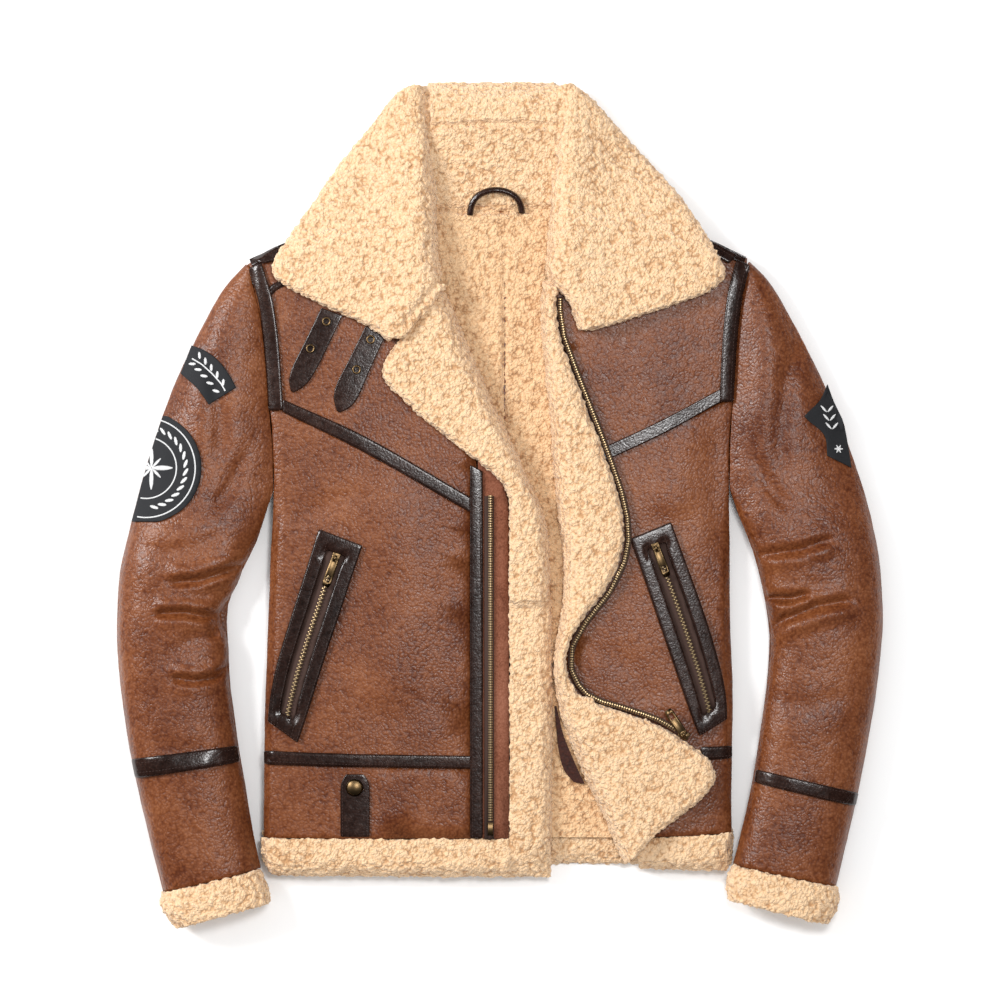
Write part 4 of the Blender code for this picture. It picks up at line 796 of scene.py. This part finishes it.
stitch_rows("binding_stitches", BINDING_LINES)
shoulders = surface_tree("right_yoke_leather", "left_yoke_leather")
strip("right_shoulder_strip", [(251, 263), (266, 256.5), (282, 248.5), (300, 242)], 4.4, 2.2, BINDING, shoulders)
strip("left_shoulder_strip", [(744.5, 261), (731, 254.5), (716, 247), (698, 241)], 4.4, 2.2, BINDING, shoulders)
strip("right_yoke_branch", [(268, 295), (274, 288), (290, 279)], 3.8, 1.8, BINDING, shoulders)


def zip_teeth(name, line, pitch, tooth, tape, ends=0, sway=0.0):
    """A row of teeth along a zip tape: each lies across the row, and a closed zip's sway in turn to both sides."""
    x, down, heading = even_steps(line, pitch)
    places = []
    for i in range(ends, len(x) - ends):
        turn = heading[i] + math.pi / 2
        aside = sway * (-1) ** (i - ends)
        places.append((x[i] + aside * math.cos(turn), down[i] + aside * math.sin(turn), turn))
    scattered(name, brick(*tooth), places, TEETH, surface_tree(tape), TOOTH_SEAT)


for side, rows in (("right", RIGHT_WELT), ("left", LEFT_WELT)):
    middle = welt_lines(side + "_pocket_welt", rows)
    zip_teeth(side + "_pocket_teeth", middle, 1.9, (3.8, 1.3, 1.1), side + "_pocket_zip_tape", 8, 0.8)
zip_teeth("right_front_teeth", RIGHT_TEETH, 2.5, (4.4, 1.6, 1.3), "right_zip_tape")
scattered("right_front_pin_box", brick(13.0, 5.6, 2.0), [(*PIN_BOX, math.pi / 2)], BRASS,
          surface_tree("right_zip_tape"), TOOTH_SEAT)
zip_teeth("left_front_teeth", LEFT_TEETH, 2.5, (4.6, 1.6, 1.5), "left_zip_tape")

# Embroidery on the sleeve patches: a laurel branch, a compass star in a ring of leaves, and chevrons with a star
Leaf = namedtuple("Leaf", "x down heading long wide")
ARC_STEM = [(193, 359), (203, 365), (213, 374), (222, 384), (226, 391)]
ARC_LEAVES = [Leaf(196.5 + 6.0 * k + 3.6 * s, 360 + 5.4 * k + 0.35 * k * k - 4.2 * s,
                   0.75 + 0.06 * k + 0.7 * s, 8.0, 3.0) for k in range(5) for s in (-1, 1)]
ROUND_CENTRE = (147, 468)
RING_LEAVES = [Leaf(ROUND_CENTRE[0] + 40 * math.cos(t), ROUND_CENTRE[1] + 40 * math.sin(t),
                    t + math.pi / 2 + 0.5, 9.5, 3.4)
               for t in [math.radians(a) for a in range(-78, 84, 12)]]
STAR_POINTS = ((0, 11, 5), (90, 11, 5), (180, 9, 5), (270, 11, 5), (45, 7, 3), (135, 7, 3), (225, 7, 3), (315, 7, 3))
STAR_LEAVES = [Leaf(152 + reach * math.cos(math.radians(a)), 468 + reach * math.sin(math.radians(a)),
                    math.radians(a), 2 * reach, wide) for a, reach, wide in STAR_POINTS]
CHEVRONS = [Leaf(826.5 + 2.4 * k + 3.4 * s, 409 + 8.5 * k, 1.57 + 0.75 * s, 9.5, 2.4)
            for k in range(3) for s in (-1, 1)]
SIDE_STAR = [Leaf(838, 449, math.radians(a), 9.5, 2.2) for a in (0, 60, 120)]
RING_RADII = (30.5, 49.5)
# Embroidery thread: how far apart its bars lie, how thick one is, and the length of those that make a line
SATIN_PITCH = 0.85
SATIN_THREAD = (0.75, 0.4)
SATIN_LIFT = 0.1
LINE_WIDTH = 1.5


def satin(leaves):
    """The threads that fill leaf shapes: short bars set across each leaf, close together."""
    bars = []
    for leaf in leaves:
        steps = max(int(leaf.long / SATIN_PITCH), 3)
        for i in range(steps + 1):
            t = i / steps - 0.5
            half = leaf.wide / 2 * (1 - (2 * t) ** 2) ** 0.7
            if half > 0.35:
                x = leaf.x + t * leaf.long * math.cos(leaf.heading)
                down = leaf.down + t * leaf.long * math.sin(leaf.heading)
                bars.append((x, down, leaf.heading + math.pi / 2, 2 * half))
    return bars


def embroider(name, patch, leaves, lines=()):
    """Leaves and lines in white thread on a patch, with the bars of one length in one mesh."""
    tree = surface_tree(patch)
    groups = {}
    for x, down, heading, long in satin(leaves):
        groups.setdefault(round(long * 2) / 2, []).append((x, down, heading))
    for line in lines:
        bars = zip(*even_steps(line, SATIN_PITCH))
        groups.setdefault(LINE_WIDTH, []).extend((a, b, c + math.pi / 2) for a, b, c in bars)
    for number, (long, places) in enumerate(sorted(groups.items())):
        scattered(f"{name}_{number}", capsule(long, *SATIN_THREAD), places, WHITE_THREAD, tree, SATIN_LIFT)


def circle(radius, start, end):
    """Part of a ring on the round patch, from one angle to another."""
    turns = [math.radians(start + (end - start) * i / 40) for i in range(41)]
    return [(ROUND_CENTRE[0] + radius * math.cos(t), ROUND_CENTRE[1] + radius * math.sin(t)) for t in turns]


embroider("arc_laurel", "right_sleeve_arc_patch_twill", ARC_LEAVES, [ARC_STEM])
embroider("compass", "right_sleeve_round_patch_twill", RING_LEAVES + STAR_LEAVES,
          [circle(RING_RADII[0], -72, 100), circle(RING_RADII[1], -80, 100)])
embroider("chevrons", "left_sleeve_patch_twill", CHEVRONS + SIDE_STAR)


# Each cloth piece as it was cut, in millimetres, what share of that rectangle it fills, and what it lies on. Thin
# pieces count their folded edges, and a sleeve is cut in a top and an under half
Cut = namedtuple("Cut", "piece width length share under")


def softbox(name, place, aim, size, watts):
    """A studio light: a white panel that the camera doesn't see."""
    light = bpy.data.lights.new(name, "AREA")
    light.shape = "RECTANGLE"
    light.size, light.size_y = size
    light.energy = watts
    lamp = bpy.data.objects.new(name, light)
    lamp.location = place
    lamp.rotation_euler = (Vector(aim) - Vector(place)).to_track_quat("-Z", "Y").to_euler()
    lamp.visible_camera = False
    bpy.context.scene.collection.objects.link(lamp)


bpy.ops.mesh.primitive_plane_add(size=6.0)
floor = bpy.context.object
floor.name = "floor"
floor.data.materials.append(FLOOR)

softbox("key", (-2.3, 1.1, 2.0), (0.0, 0.0, 0.0), (0.9, 0.9), 94)
softbox("overhead", (0.42, 0.5, 2.9), (0.1, 0.1, 0.0), (0.6, 0.6), 38)

world = bpy.data.worlds.new("studio")
bpy.context.scene.world = world
world.use_nodes = True
world.node_tree.nodes["Background"].inputs["Color"].default_value = (1.0, 1.0, 1.0, 1.0)
world.node_tree.nodes["Background"].inputs["Strength"].default_value = 0.72
world.cycles_visibility.glossy = False

# The camera stands straight over the table and sees one metre of it, 20 mm above the floor
CAMERA_HEIGHT = 5.5
FOCUS_HEIGHT = 0.02
SENSOR = 36.0
view = bpy.data.cameras.new("camera")
view.sensor_width = SENSOR
view.lens = SENSOR * (CAMERA_HEIGHT - FOCUS_HEIGHT)
camera = bpy.data.objects.new("camera", view)
camera.location = (0.0, 0.003, CAMERA_HEIGHT)
bpy.context.scene.collection.objects.link(camera)
scene = bpy.context.scene
scene.camera = camera
scene.render.engine = "CYCLES"
scene.cycles.samples = 64
scene.cycles.use_denoising = True
scene.render.resolution_x = 1000
scene.render.resolution_y = 1000
scene.view_settings.view_transform = "Standard"
